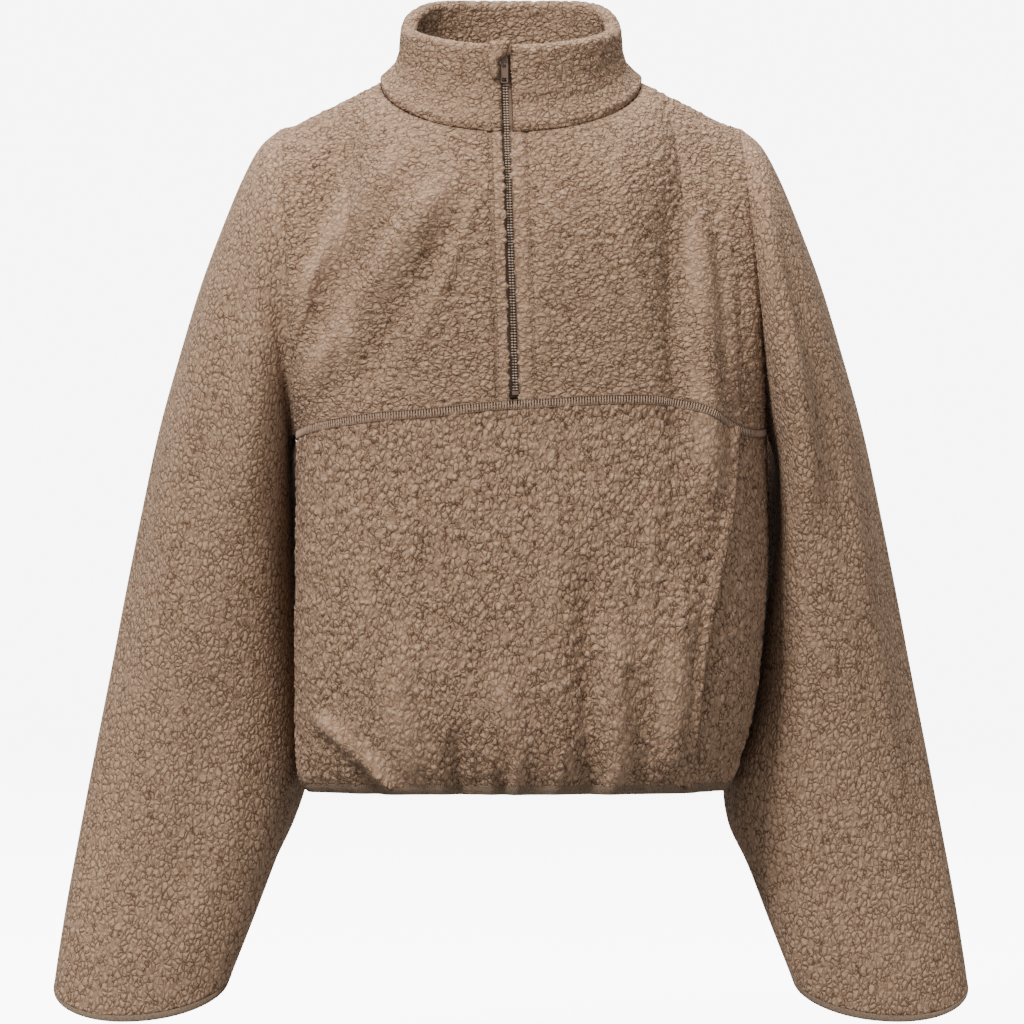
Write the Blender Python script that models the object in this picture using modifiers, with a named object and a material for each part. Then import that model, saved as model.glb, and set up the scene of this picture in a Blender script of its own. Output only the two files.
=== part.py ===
"""Fleece zip top, worn shape without a wearer: cropped body, chest seam, wide sleeves, stand collar, half zip.

Metres, +Z up, the front looks along -Y and +X is the viewer's right. The origin is at the neck's base
between the wearer's shoulders. Every cloth piece is a wall between two grids of points, which are read
from the tables of sections below.
"""

import math

import bpy
import numpy as np

WALL = 0.003
SEAM_GAP = 0.0003
STEP = 1e-4

SQUARENESS = 2.5
FRONT_X = 0.004
TORSO_COLUMNS = ("z", "left", "right", "front", "back", "left_depth", "right_depth")
TORSO_ROWS = (
    (-0.545, -0.154, 0.160, -0.103, 0.080, -0.020, 0.000),
    (-0.534, -0.160, 0.167, -0.107, 0.084, -0.024, -0.002),
    (-0.520, -0.163, 0.173, -0.115, 0.092, -0.028, -0.004),
    (-0.500, -0.1635, 0.1805, -0.122, 0.097, -0.032, -0.005),
    (-0.470, -0.164, 0.187, -0.126, 0.100, -0.035, -0.005),
    (-0.425, -0.164, 0.192, -0.127, 0.102, -0.035, -0.005),
    (-0.366, -0.1635, 0.196, -0.125, 0.103, -0.035, -0.005),
    (-0.310, -0.163, 0.1955, -0.122, 0.104, -0.035, -0.005),
    (-0.262, -0.163, 0.195, -0.119, 0.104, -0.035, -0.005),
)
HEM_TOP = -0.534
HEM_BOTTOM = -0.5415

CHEST_SEAM_COLUMNS = ("turn", "z")
CHEST_SEAM_ROWS = (
    (-180, -0.262),
    (-130, -0.266),
    (-90, -0.271),
    (-53, -0.2626),
    (-34, -0.2576),
    (-16, -0.2541),
    (-3, -0.2494),
    (5, -0.2470),
    (18, -0.2446),
    (30, -0.2453),
    (40, -0.2500),
    (50, -0.2600),
    (60, -0.2670),
    (90, -0.2676),
    (130, -0.265),
    (180, -0.262),
)

SIDE_SEAM_COLUMNS = ("z", "left_turn", "right_turn")
SIDE_SEAM_ROWS = (
    (-0.545, -97, 49),
    (-0.500, -97, 45),
    (-0.460, -97, 44),
    (-0.400, -97, 47),
    (-0.366, -97, 50),
    (-0.335, -97, 53),
    (-0.262, -97, 57),
)
SIDE_PANEL_WIDTH = 0.11

NECK_HALF_WIDTH = 0.0997
NECK_Y = -0.005
NECK_FRONT = -0.088
NECK_BACK = 0.060
NECK_FRONT_Z = -0.0424
NECK_BACK_Z = 0.012
NECK_SHARE = 0.5

ARMHOLE_COLUMNS = ("side", "top_x", "top_y", "top_z")
ARMHOLE_ROWS = (
    (-1, -0.174, 0.010, -0.0365),
    (1, 0.174, 0.010, -0.0365),
)

SLEEVE_COLUMNS = ("outer_x", "outer_z", "inner_left_x", "inner_right_x", "inner_z", "front", "back", "drop")
SLEEVE_ROWS = (
    (0.174, -0.0365, 0.163, 0.195, -0.271, -0.060, 0.075, 0.0),
    (0.190, -0.0500, 0.1690, 0.2030, -0.280, -0.067, 0.082, 0.0),
    (0.2035, -0.0745, 0.1700, 0.2055, -0.291, -0.071, 0.087, 0.0),
    (0.2180, -0.1090, 0.1700, 0.2070, -0.306, -0.071, 0.090, 0.0),
    (0.2355, -0.1550, 0.1690, 0.2070, -0.326, -0.067, 0.093, 0.0),
    (0.2520, -0.2085, 0.1685, 0.2060, -0.350, -0.061, 0.094, 0.0),
    (0.2680, -0.2660, 0.1680, 0.2030, -0.376, -0.054, 0.093, 0.0),
    (0.2815, -0.3275, 0.1670, 0.1990, -0.406, -0.047, 0.091, 0.0),
    (0.2940, -0.3890, 0.1660, 0.1955, -0.442, -0.040, 0.088, 0.0),
    (0.3055, -0.4500, 0.1655, 0.1895, -0.484, -0.035, 0.084, 0.0),
    (0.3175, -0.5115, 0.1655, 0.1755, -0.527, -0.032, 0.078, 0.0),
    (0.3290, -0.5730, 0.1740, 0.1735, -0.569, -0.032, 0.070, 0.002),
    (0.3385, -0.6265, 0.1875, 0.1875, -0.607, -0.033, 0.060, 0.007),
    (0.3455, -0.6725, 0.2025, 0.2025, -0.646, -0.036, 0.050, 0.015),
    (0.3480, -0.6935, 0.2180, 0.2180, -0.6835, -0.038, 0.040, 0.028),
)
SLEEVE_ROUNDNESS = 2.1
CUFF_BAND_SHARE = 0.2
ARMHOLE_SEAM_GAP = 0.0010
SLEEVE_BACK_IN = 0.035
SLEEVE_BACK_IN_ROWS = (2.0, 5.0, 10.0, 13.0)

COLLAR_RIM_HALF_WIDTH = 0.0785
COLLAR_RIM_FRONT = -0.074
COLLAR_RIM_BACK = 0.056
COLLAR_RIM_RADIUS = 0.0058
COLLAR_FRONT_Z = 0.0180
COLLAR_SIDE_Z = 0.0360
COLLAR_BACK_Z = 0.0610
COLLAR_WALL = 0.0095
COLLAR_FLARE = ((0.0, 0.96), (0.09, 1.0), (0.2, 0.66), (0.35, 0.28), (0.6, 0.07), (1.0, 0.0))

ZIP_TOP_X = -0.0052
ZIP_TOP_Z = 0.016
ZIP_SLOPE = 0.0335
ZIP_LEFT_GAP = (0.0043, 0.0029)
ZIP_RIGHT_GAP = (0.0062, 0.0050)
ZIP_BOTTOM_Z = -0.2415
TAPE_TOP_Z = 0.017
TAPE_BOTTOM_Z = -0.2435
TAPE_THICK = 0.0007
TAPE_HALF_WIDTH = 0.011
TAPE_DEPTHS = (0.0046, 0.0036)
TAPE_DEPTH_Z = (-0.050, -0.034)
TAPE_PARTING_Z = 0.0105
TAPE_PARTING = 0.0019
CHAIN_WIDTH = 0.0046
CHAIN_THICK = 0.0013
CHAIN_TOP_Z = 0.0036
STOP_SIZE = (0.0056, 0.0016, 0.0030)
STOP_Z = -0.2400
PIVOT_Z = 0.0089
PIVOT_FORWARD = 0.0006
TAB_LENGTH = 0.0150
TAB_WIDTH = 0.0058
TAB_THICK = 0.0010
TAB_BAR = 0.0006
TAB_EYE = (0.0030, 0.0026)
TAB_WINDOW = (0.0036, 0.0028)
SLIDER_WIDTH = 0.0052
SLIDER_HEIGHT = 0.0090
PLATE_THICK = 0.0010
FRONT_PLATE_DEPTH = 0.0004
BACK_PLATE_DEPTH = 0.0050
BAIL_RADIUS = 0.00125
BAIL_WIRE = 0.00035

GARAGE_COLUMNS = ("z", "left", "right")
GARAGE_ROWS = (
    (-0.0028, -0.0130, -0.0106),
    (0.0010, -0.0153, -0.0091),
    (0.0050, -0.0166, -0.0085),
    (0.0116, -0.0172, -0.0083),
    (0.0146, -0.0174, -0.0030),
    (0.0175, -0.0172, -0.0014),
    (0.0215, -0.0158, -0.0004),
)
GARAGE_THICK = 0.0022
GARAGE_LIFT = 0.0006

FOLD_COLUMNS = ("x_top", "z_top", "x_bottom", "z_bottom", "width", "height", "face")
BODY_FOLDS = (
    (-0.045, -0.070, -0.150, -0.235, 0.016, 0.0060, 1),
    (-0.080, -0.050, -0.160, -0.170, 0.014, 0.0040, 1),
    (-0.045, -0.110, -0.115, -0.240, 0.012, -0.0035, 1),
    (0.140, -0.080, 0.150, -0.330, 0.013, 0.0060, 1),
    (0.120, -0.090, 0.128, -0.300, 0.010, -0.0035, 1),
    (0.059, -0.360, 0.060, -0.560, 0.011, -0.0050, 1),
    (0.080, -0.410, 0.076, -0.560, 0.012, 0.0050, 1),
    (-0.079, -0.420, -0.080, -0.560, 0.015, 0.0050, 1),
    (-0.040, -0.490, -0.040, -0.570, 0.008, -0.0045, 1),
    (0.128, -0.380, 0.118, -0.560, 0.012, 0.0050, 1),
    (-0.145, -0.480, -0.080, -0.545, 0.011, 0.0060, 1),
    (-0.010, -0.440, 0.012, -0.570, 0.012, 0.0035, 1),
    (-0.080, -0.060, -0.110, -0.260, 0.016, 0.0060, -1),
    (0.090, -0.060, 0.115, -0.260, 0.016, 0.0060, -1),
    (-0.060, -0.330, -0.055, -0.560, 0.014, 0.0050, -1),
    (0.000, -0.300, 0.005, -0.560, 0.013, -0.0050, -1),
    (0.070, -0.360, 0.075, -0.560, 0.014, 0.0055, -1),
    (0.120, -0.420, 0.112, -0.560, 0.010, -0.0040, -1),
)
LEVEL_LIFT_Z = (-0.24, -0.18)
HEM_GATHERS = 24
HEM_GATHER_HEIGHT = 0.0016
HEM_GATHER_REACH = 0.035

SLEEVE_FOLD_COLUMNS = ("row_top", "row_bottom", "angle_top", "angle_bottom", "width", "height")
SLEEVE_FOLDS = (
    (1.0, 8.0, 55, 75, 16, 0.0060),
    (2.0, 6.5, 95, 105, 14, -0.0050),
    (6.0, 13.0, 30, 40, 18, 0.0045),
    (8.0, 13.0, 100, 95, 18, 0.0040),
    (1.5, 8.0, 290, 275, 18, 0.0060),
    (5.0, 12.0, 320, 330, 18, 0.0040),
    (7.0, 12.5, 250, 255, 16, -0.0040),
)


def table(names, rows):
    """The columns of a table by name."""
    return {name: np.array([row[i] for row in rows], float) for i, name in enumerate(names)}


def smooth(at, places, values):
    """Values read along the smooth curve through a table's column."""
    slopes = np.gradient(values, places)
    i = np.clip(np.searchsorted(places, at) - 1, 0, len(places) - 2)
    step = places[i + 1] - places[i]
    f = np.clip((at - places[i]) / step, 0, 1)
    rise = values[i + 1] - values[i]
    ends = slopes[i] + slopes[i + 1]
    bend = (3 * rise - step * (slopes[i] + ends)) * f**2 + (step * ends - 2 * rise) * f**3
    return values[i] + step * slopes[i] * f + bend


def ease(at, low, high):
    """A smooth step from 0 at low to 1 at high."""
    f = np.clip((at - low) / (high - low), 0, 1)
    return f * f * (3 - 2 * f)


def mixed(a, b, share):
    """Points or numbers between a and b."""
    return a + (b - a) * share


def points(x, y, z):
    """Arrays of coordinates as one array of points."""
    return np.stack(np.broadcast_arrays(x, y, z), axis=-1)


def unit(vectors):
    return vectors / np.linalg.norm(vectors, axis=-1, keepdims=True)


TORSO = table(TORSO_COLUMNS, TORSO_ROWS)
CHEST_SEAM = table(CHEST_SEAM_COLUMNS, CHEST_SEAM_ROWS)
SIDE_SEAM = table(SIDE_SEAM_COLUMNS, SIDE_SEAM_ROWS)
ARMHOLE = table(ARMHOLE_COLUMNS, ARMHOLE_ROWS)
SLEEVE = table(SLEEVE_COLUMNS, SLEEVE_ROWS)
GARAGE = table(GARAGE_COLUMNS, GARAGE_ROWS)


def torso_ring(turn, z):
    """The torso's outer surface: turn in radians from centre front, positive to the right."""
    row = {name: smooth(z, TORSO["z"], TORSO[name]) for name in TORSO_COLUMNS[1:]}
    across = np.abs(np.sin(turn)) ** (2 / SQUARENESS)
    along = np.abs(np.cos(turn)) ** (2 / SQUARENESS)
    on_right = np.sin(turn) >= 0
    side_x = np.where(on_right, row["right"], row["left"])
    side_y = np.where(on_right, row["right_depth"], row["left_depth"])
    end_y = np.where(np.cos(turn) >= 0, row["front"], row["back"])
    return points(FRONT_X + (side_x - FRONT_X) * across, side_y + (end_y - side_y) * along, z)


TURNS = np.linspace(-math.pi, 2 * math.pi, 3001)
REFERENCE_RING = torso_ring(TURNS, np.full(TURNS.shape, -0.366))
GIRTHS = np.concatenate([[0], np.cumsum(np.linalg.norm(np.diff(REFERENCE_RING, axis=0), axis=1))])
GIRTHS -= np.interp(0, TURNS, GIRTHS)


def turn_at(girth):
    return np.interp(girth, GIRTHS, TURNS)


def girth_at(turn):
    return np.interp(turn, TURNS, GIRTHS)


def chest_seam_z(turn):
    degrees = np.degrees(turn)
    degrees = np.where(degrees > 180, degrees - 360, degrees)
    return smooth(degrees, CHEST_SEAM["turn"], CHEST_SEAM["z"])


def fold_height(place):
    """How far the folds lift the body's cloth at these points."""
    lift = np.zeros(place.shape[:-1])
    x, y, z = place[..., 0], place[..., 1], place[..., 2]
    for values in BODY_FOLDS:
        fold = dict(zip(FOLD_COLUMNS, values, strict=True))
        run = (z - fold["z_top"]) / (fold["z_bottom"] - fold["z_top"])
        away = (x - mixed(fold["x_top"], fold["x_bottom"], run)) / fold["width"]
        ends = ease(run, -0.12, 0.25) * (1 - ease(run, 0.8, 1.15))
        on_face = ease(-y * fold["face"], 0.0, 0.06)
        lift += fold["height"] * np.exp(-(away**2)) * ends * on_face
    around = np.arctan2(x, -y) * HEM_GATHERS
    near_hem = ease(-z, -HEM_TOP - HEM_GATHER_REACH, -HEM_TOP)
    waves = np.sin(around + 1.3 * np.sin(around * 0.31)) + 0.5 * np.sin(around * 1.7 + 1)
    return lift + HEM_GATHER_HEIGHT * near_hem * waves


def normals(surface, a, b, step=STEP):
    """Unit normals of a surface of two parameters, by differences."""
    along_a = surface(a + step, b) - surface(a - step, b)
    along_b = surface(a, b + step) - surface(a, b - step)
    return unit(np.cross(along_a, along_b))


def draped(base, out):
    """The surface with its folds lifted outwards; out is the sign that turns its normals outwards."""

    def surface(a, b):
        place = base(a, b)
        away = out * normals(base, a, b, 1e-3)
        away[..., 2] *= ease(place[..., 2], LEVEL_LIFT_Z[0], LEVEL_LIFT_Z[1])
        return place + unit(away) * fold_height(place)[..., None]

    return surface


def zip_x(z):
    return ZIP_TOP_X + (ZIP_TOP_Z - z) * ZIP_SLOPE


def zip_edge_x(side, z):
    """Where the cloth ends beside the zip."""
    low, high = ZIP_RIGHT_GAP if side > 0 else ZIP_LEFT_GAP
    share = np.clip((z - ZIP_BOTTOM_Z) / (ZIP_TOP_Z - ZIP_BOTTOM_Z), 0, 1)
    return zip_x(z) + side * mixed(low, high, share)


def neck(angle):
    """The neck seam: angle in radians from centre front, positive to the right."""
    forward = np.cos(angle)
    reach = np.where(forward >= 0, NECK_Y - NECK_FRONT, NECK_BACK - NECK_Y)
    height = np.where(forward >= 0, NECK_FRONT_Z, NECK_BACK_Z) * np.abs(forward)
    return points(NECK_HALF_WIDTH * np.sin(angle), NECK_Y - reach * forward, height)


def bezier(p0, p1, p2, p3, v):
    v = v[..., None]
    return (1 - v) ** 3 * p0 + 3 * (1 - v) ** 2 * v * p1 + 3 * (1 - v) * v**2 * p2 + v**3 * p3


def armhole_top(side):
    i = 0 if side < 0 else 1
    return np.array([ARMHOLE[name][i] for name in ARMHOLE_COLUMNS[1:]])


def yoke(side, face):
    """One half of the front (face 1) or back (face -1) yoke, side -1 or 1.

    a runs from the centre (0) to the armhole (1), b from the chest seam (0) to the neck and shoulder (1).
    """
    middle = math.pi if face < 0 else 0.0
    side_turn = side * math.pi / 2
    if face > 0:
        edge_x = zip_edge_x(side, ZIP_BOTTOM_Z)
        trial = np.linspace(-0.3, 0.3, 601)
        ring_x = torso_ring(trial, chest_seam_z(trial))[:, 0]
        middle = float(np.interp(edge_x, ring_x, trial))
    neck_start = math.asin(zip_edge_x(side, NECK_FRONT_Z) / NECK_HALF_WIDTH) if face > 0 else math.pi * side
    if face < 0 and side < 0:
        side_turn, middle = 1.5 * math.pi, math.pi
    top = armhole_top(side)

    def surface(a, b):
        a, b = np.broadcast_arrays(np.asarray(a, float), np.asarray(b, float))
        turn = turn_at(mixed(girth_at(middle), girth_at(side_turn), a))
        foot = torso_ring(turn, chest_seam_z(turn))
        neck_angle = mixed(neck_start, side * math.pi / 2, np.clip(a / NECK_SHARE, 0, 1))
        along_shoulder = np.clip((a - NECK_SHARE) / (1 - NECK_SHARE), 0, 1)[..., None]
        neck_side = neck(np.array(side * math.pi / 2))
        head = np.where(a[..., None] < NECK_SHARE, neck(neck_angle), mixed(neck_side, top, along_shoulder))
        swing = np.radians(45) * np.where(a < NECK_SHARE, a / NECK_SHARE, (1 - a) / (1 - NECK_SHARE))
        to_side = ease(a, 0.0, NECK_SHARE)
        steep = mixed(-0.89 if face > 0 else -0.6, -0.36, to_side)
        steep = np.where(a > NECK_SHARE, mixed(-0.36, -0.10, ease(a, NECK_SHARE, 1)), steep)
        flat = np.sqrt(1 - steep**2)
        off_head = points(side * np.sin(swing) * flat, -face * np.cos(swing) * flat, steep)
        toward_arm = ease(a, 0.6, 1.0) if face > 0 else ease(a, 0.15, 0.8)
        level = np.zeros_like(a)
        up = points(level, level + 0.03 * face, level + 1.0)
        reach = 0.65 if face > 0 else 0.80
        over = points(level, level - reach * face, level + 0.70)
        off_foot = mixed(up, over, toward_arm[..., None])
        foot_arm = mixed(0.075, 0.10 if face > 0 else 0.16, toward_arm)
        head_arm = mixed(0.070, 0.075 if face > 0 else 0.11, toward_arm)
        near_foot = foot + off_foot * foot_arm[..., None]
        near_foot[..., 0] += (head[..., 0] - foot[..., 0]) / 3 * (1 - toward_arm)
        near_head = head + off_head * head_arm[..., None]
        near_head[..., 0] = mixed(mixed(foot, head, 2 / 3)[..., 0], near_head[..., 0], ease(a, 0.0, 0.25))
        return bezier(foot, near_foot, near_head, head, b)

    return surface


def lower_body(start, end):
    """A panel below the chest seam; start and end give its edges' girth at each height."""

    def surface(a, b):
        a, b = np.broadcast_arrays(np.asarray(a, float), np.asarray(b, float))
        rough_z = mixed(-0.262, HEM_TOP, b)
        turn = turn_at(mixed(start(rough_z), end(rough_z), a))
        return torso_ring(turn, mixed(chest_seam_z(turn), HEM_TOP, b))

    return surface


def left_front_girth(z):
    return girth_at(np.radians(smooth(z, SIDE_SEAM["z"], SIDE_SEAM["left_turn"])))


def right_front_girth(z):
    return girth_at(np.radians(smooth(z, SIDE_SEAM["z"], SIDE_SEAM["right_turn"])))


def left_back_girth(z):
    return left_front_girth(z) - SIDE_PANEL_WIDTH


def right_back_girth(z):
    return right_front_girth(z) + SIDE_PANEL_WIDTH


def left_back_round_girth(z):
    return left_back_girth(z) + girth_at(2 * math.pi) - girth_at(0)


def sleeve_ring(side, row, angle):
    """Points of whole rows of the sleeve: angle 0 at the outer edge, a quarter turn at the front."""
    inner_x = SLEEVE["inner_right_x" if side > 0 else "inner_left_x"]
    outer = points(side * SLEEVE["outer_x"], 0, SLEEVE["outer_z"])[row]
    inner = points(side * inner_x, 0, SLEEVE["inner_z"])[row]
    cos, sin = np.cos(angle), np.sin(angle)
    power = 2 / SLEEVE_ROUNDNESS
    across = np.sign(cos) * np.abs(cos) ** power
    forward = np.sign(sin) * np.abs(sin) ** power
    middle_y = (SLEEVE["front"][row] + SLEEVE["back"][row]) / 2
    half_depth = (SLEEVE["back"][row] - SLEEVE["front"][row]) / 2
    place = mixed(inner, outer, (across[..., None] + 1) / 2)
    place[..., 1] = middle_y - half_depth * forward
    place[..., 2] -= SLEEVE["drop"][row] * forward
    near, far = ease(row, *SLEEVE_BACK_IN_ROWS[:2]), ease(row, *SLEEVE_BACK_IN_ROWS[2:])
    place[..., 0] -= side * SLEEVE_BACK_IN * near * (1 - far) * ease(-forward, 0, 1) * (1 - across) / 2
    return place


def armhole_ring(side, angle):
    """The armhole: the edges of the front and back yokes, read from the shoulder down the front."""
    turn = np.mod(angle, 2 * math.pi) / math.pi
    front = yoke(side, 1)(np.ones_like(turn), np.clip(1 - turn, 0, 1))
    back = yoke(side, -1)(np.ones_like(turn), np.clip(turn - 1, 0, 1))
    return np.where((turn <= 1)[..., None], front, back)


def sleeve_fold_height(row, angle):
    lift = np.zeros(row.shape)
    degrees = np.degrees(angle) % 360
    for values in SLEEVE_FOLDS:
        fold = dict(zip(SLEEVE_FOLD_COLUMNS, values, strict=True))
        run = (row - fold["row_top"]) / (fold["row_bottom"] - fold["row_top"])
        away = (degrees - mixed(fold["angle_top"], fold["angle_bottom"], run) + 180) % 360 - 180
        ends = ease(run, 0.0, 0.3) * (1 - ease(run, 0.7, 1.0))
        lift += fold["height"] * np.exp(-((away / fold["width"]) ** 2)) * ends
    return lift


def sleeve(side):
    """A sleeve's outer surface: a is the turn round it in whole turns, b the row of its table."""
    last = len(SLEEVE_ROWS) - 1

    def plain(a, b):
        a, b = np.broadcast_arrays(np.asarray(a, float), np.asarray(b, float))
        angle = 2 * math.pi * a
        row = np.clip(np.floor(b).astype(int), 0, last - 1)
        f = (b - row)[..., None]
        seam = armhole_ring(side, angle) + np.array([side * ARMHOLE_SEAM_GAP, 0, 0])

        def at(i):
            ring = sleeve_ring(side, np.clip(i, 0, last), angle)
            return np.where((i <= 0)[..., None], seam, ring)

        here, after, beyond = at(row), at(row + 1), at(row + 2)
        before = np.where((row == 0)[..., None], 2 * here - after, at(row - 1))
        slope = (after - before) / 2
        next_slope = (beyond - here) / 2
        rise = after - here
        bend = (3 * rise - 2 * slope - next_slope) * f**2 + (slope + next_slope - 2 * rise) * f**3
        return here + slope * f + bend

    def surface(a, b):
        place = plain(a, b)
        lift = sleeve_fold_height(np.asarray(b, float) + 0 * a, 2 * math.pi * np.asarray(a, float))
        return place + side * -normals(plain, a, b, 1e-3) * lift[..., None]

    return surface


def collar_line(angle, height):
    """The collar's outer face at a share of its height, and the way out from the neck."""
    base = neck(angle)
    cos, sin = np.cos(angle), np.sin(angle)
    rim_reach = np.where(cos >= 0, NECK_Y - COLLAR_RIM_FRONT, COLLAR_RIM_BACK - NECK_Y)
    rim_end_z = np.where(cos >= 0, COLLAR_FRONT_Z, COLLAR_BACK_Z)
    rise = np.where(cos >= 0, np.abs(cos) ** 1.3, 1 - (1 - np.abs(cos)) ** 2.2)
    rim_z = mixed(COLLAR_SIDE_Z, rim_end_z, rise)
    rim = points(COLLAR_RIM_HALF_WIDTH * sin, NECK_Y - rim_reach * cos, rim_z)
    out = unit(points(sin / COLLAR_RIM_HALF_WIDTH, -cos / rim_reach, 0))
    flare = np.interp(height, *np.array(COLLAR_FLARE).T)[..., None]
    face = mixed(rim + out * COLLAR_RIM_RADIUS, base, flare)
    face[..., 2] = mixed(base[..., 2] + SEAM_GAP, rim[..., 2], height)
    return face, rim, out


def collar_profile(angle):
    """The closed outline of the collar's doubled cloth at one place round the neck."""
    rows = []
    for height in (0.0, 0.09, 0.2, 0.35, 0.6, 0.82):
        rows.append(collar_line(angle, np.full(angle.shape, height))[0])
    face, rim, out = collar_line(angle, np.ones(angle.shape))
    for lean in np.radians((0, 36, 72, 108, 144, 180)):
        rows.append(rim + COLLAR_RIM_RADIUS * (out * math.cos(lean) + np.array([0, 0, math.sin(lean)])))
    for height in (0.75, 0.45, 0.15, 0.0):
        place = collar_line(angle, np.full(angle.shape, height))[0]
        straight = mixed(rim + out * COLLAR_RIM_RADIUS, neck(angle), 1 - height)
        straight[..., 2] = place[..., 2]
        rows.append(straight - out * mixed(2 * COLLAR_RIM_RADIUS, COLLAR_WALL, 1 - height))
    return np.stack(rows)


def front_lines():
    """The front face's y against z along the zip, from the chest seam to the collar's top."""
    up = np.linspace(0, 1, 60)
    yoke_line = draped(yoke(1, 1), 1)(np.zeros_like(up), up)
    angle = np.full(up.shape, math.asin(zip_x(0.0) / NECK_HALF_WIDTH))
    collar = collar_line(angle, up)[0]
    z = np.concatenate([yoke_line[:-1, 2], collar[1:, 2]])
    y = np.concatenate([yoke_line[:-1, 1], collar[1:, 1]])
    order = np.argsort(z)
    return z[order], y[order]


FRONT_LINE_Z, FRONT_LINE_Y = front_lines()


def front_y(z):
    return np.interp(z, FRONT_LINE_Z, FRONT_LINE_Y)


def scene_cleared():
    for thing in list(bpy.data.objects):
        bpy.data.objects.remove(thing, do_unlink=True)
    top = bpy.data.collections.new("fleece_zip_top")
    cutters = bpy.data.collections.new("cutters")
    bpy.context.scene.collection.children.link(top)
    bpy.context.scene.collection.children.link(cutters)
    return top, cutters


def material(name, color, roughness, metallic=0.0):
    made = bpy.data.materials.new(name)
    made.use_nodes = True
    shader = made.node_tree.nodes["Principled BSDF"]
    shader.inputs["Base Color"].default_value = (*color, 1)
    shader.inputs["Roughness"].default_value = roughness
    shader.inputs["Metallic"].default_value = metallic
    return made


def add_mesh(name, verts, faces, finish, collection):
    """A mesh object from points and faces."""
    mesh = bpy.data.meshes.new(name)
    mesh.from_pydata([tuple(p) for p in verts], [], faces)
    mesh.update()
    mesh.materials.append(finish)
    mesh.shade_smooth()
    mesh.set_sharp_from_angle(angle=math.radians(40))
    made = bpy.data.objects.new(name, mesh)
    collection.objects.link(made)
    return made


def inset_edges(grid, closed, gap):
    """Moves a grid's open edges in along the cloth by half a seam's gap."""
    grid = grid.copy()
    sides = [(0, 1), (-1, -2)]
    for edge, inner in sides:
        grid[:, edge] += unit(grid[:, inner] - grid[:, edge]) * gap
    if not closed:
        for edge, inner in sides:
            grid[edge] += unit(grid[inner] - grid[edge]) * gap
    return grid


def wall(name, surface, a, b, finish, collection, closed=False, out=1, edges=None, level=()):
    """A wall of cloth under a surface; out is the sign that turns its normals outwards.

    edges gives normals that two pieces share at a seam, keyed by the index of the a or b line,
    and level lists the b lines where the wall's edge is cut level.
    """
    grid_a, grid_b = np.meshgrid(a, b, indexing="ij")
    outer = surface(grid_a, grid_b)
    own = out * normals(surface, grid_a, grid_b)
    facing = own.copy()
    for (axis, index), shared in (edges or {}).items():
        if axis == "a":
            facing[index] = shared
        else:
            facing[:, index] = shared
    for index in level:
        facing[:, index] = unit(own[:, index] * np.array([1, 1, 0]))
    inner = outer - facing * WALL
    outer = inset_edges(outer, closed, SEAM_GAP / 2)
    inner = inset_edges(inner, closed, SEAM_GAP / 2)
    return grid_solid(name, outer, inner, finish, collection, closed, out)


def grid_solid(name, outer, inner, finish, collection, closed, out=1):
    """One closed body between two grids of points."""
    rows, columns = outer.shape[:2]
    verts = np.concatenate([outer.reshape(-1, 3), inner.reshape(-1, 3)])
    under = rows * columns
    faces = []

    def at(i, j):
        return (i % rows) * columns + j

    def add_rim(here, beyond, turned):
        for rim in ((beyond, here, under + beyond), (here, under + here, under + beyond)):
            faces.append(tuple(reversed(rim)) if turned else rim)

    for i in range(rows if closed else rows - 1):
        for j in range(columns - 1):
            corners = (at(i, j), at(i + 1, j), at(i + 1, j + 1), at(i, j + 1))
            faces.append(corners)
            faces.append(tuple(under + c for c in reversed(corners)))
        for j, turned in ((0, False), (columns - 1, True)):
            add_rim(at(i, j), at(i + 1, j), turned)
    if not closed:
        for i, turned in ((0, True), (rows - 1, False)):
            for j in range(columns - 1):
                add_rim(at(i, j), at(i, j + 1), turned)
    if out < 0:
        faces = [tuple(reversed(face)) for face in faces]
    return add_mesh(name, verts, faces, finish, collection)


def shared_shoulder_normals(side, a):
    """The shoulder seam's normals, the mean of the front and back yokes'."""
    up = np.full(a.shape, 1.0 - 2 * STEP)
    front = normals(draped(yoke(side, 1), side), a, up)
    back = normals(draped(yoke(side, -1), -side), a, up)
    front *= np.sign(front[..., 2:])
    back *= np.sign(back[..., 2:])
    return unit(front + back)


def make_yokes(finish, collection):
    up = np.linspace(0, 1, 14)
    across = np.linspace(0, 1, 13)
    for side, name in ((-1, "front_yoke_left"), (1, "front_yoke_right")):
        shared = armhole_edges(side, 1, up)
        top = yoke_top_normals(side, 1, across)
        edges = {("b", -1): top, ("a", -1): shared}
        wall(name, draped(yoke(side, 1), side), across, up, finish, collection, out=side, edges=edges, level=(0,))
    both = np.linspace(-1, 1, 25)
    right, left = yoke(1, -1), yoke(-1, -1)

    def back(a, b):
        return np.where((a >= 0)[..., None], right(np.abs(a), b), left(np.abs(a), b))

    top = np.concatenate([yoke_top_normals(-1, -1, -both[:12]), yoke_top_normals(1, -1, both[12:])])
    edges = {("b", -1): top, ("a", 0): armhole_edges(-1, -1, up), ("a", -1): armhole_edges(1, -1, up)}
    wall("back_yoke", draped(back, -1), both, up, finish, collection, out=-1, edges=edges, level=(0,))


def armhole_edges(side, face, up):
    """Shared normals along a yoke's armhole edge, from the underarm to the shoulder."""
    centre = armhole_ring(side, np.linspace(0, 2 * math.pi, 64, endpoint=False)).mean(axis=0)
    edge = yoke(side, face)(np.ones_like(up), up)
    away = edge - centre
    away[..., 0] = 0
    return unit(away)


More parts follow.
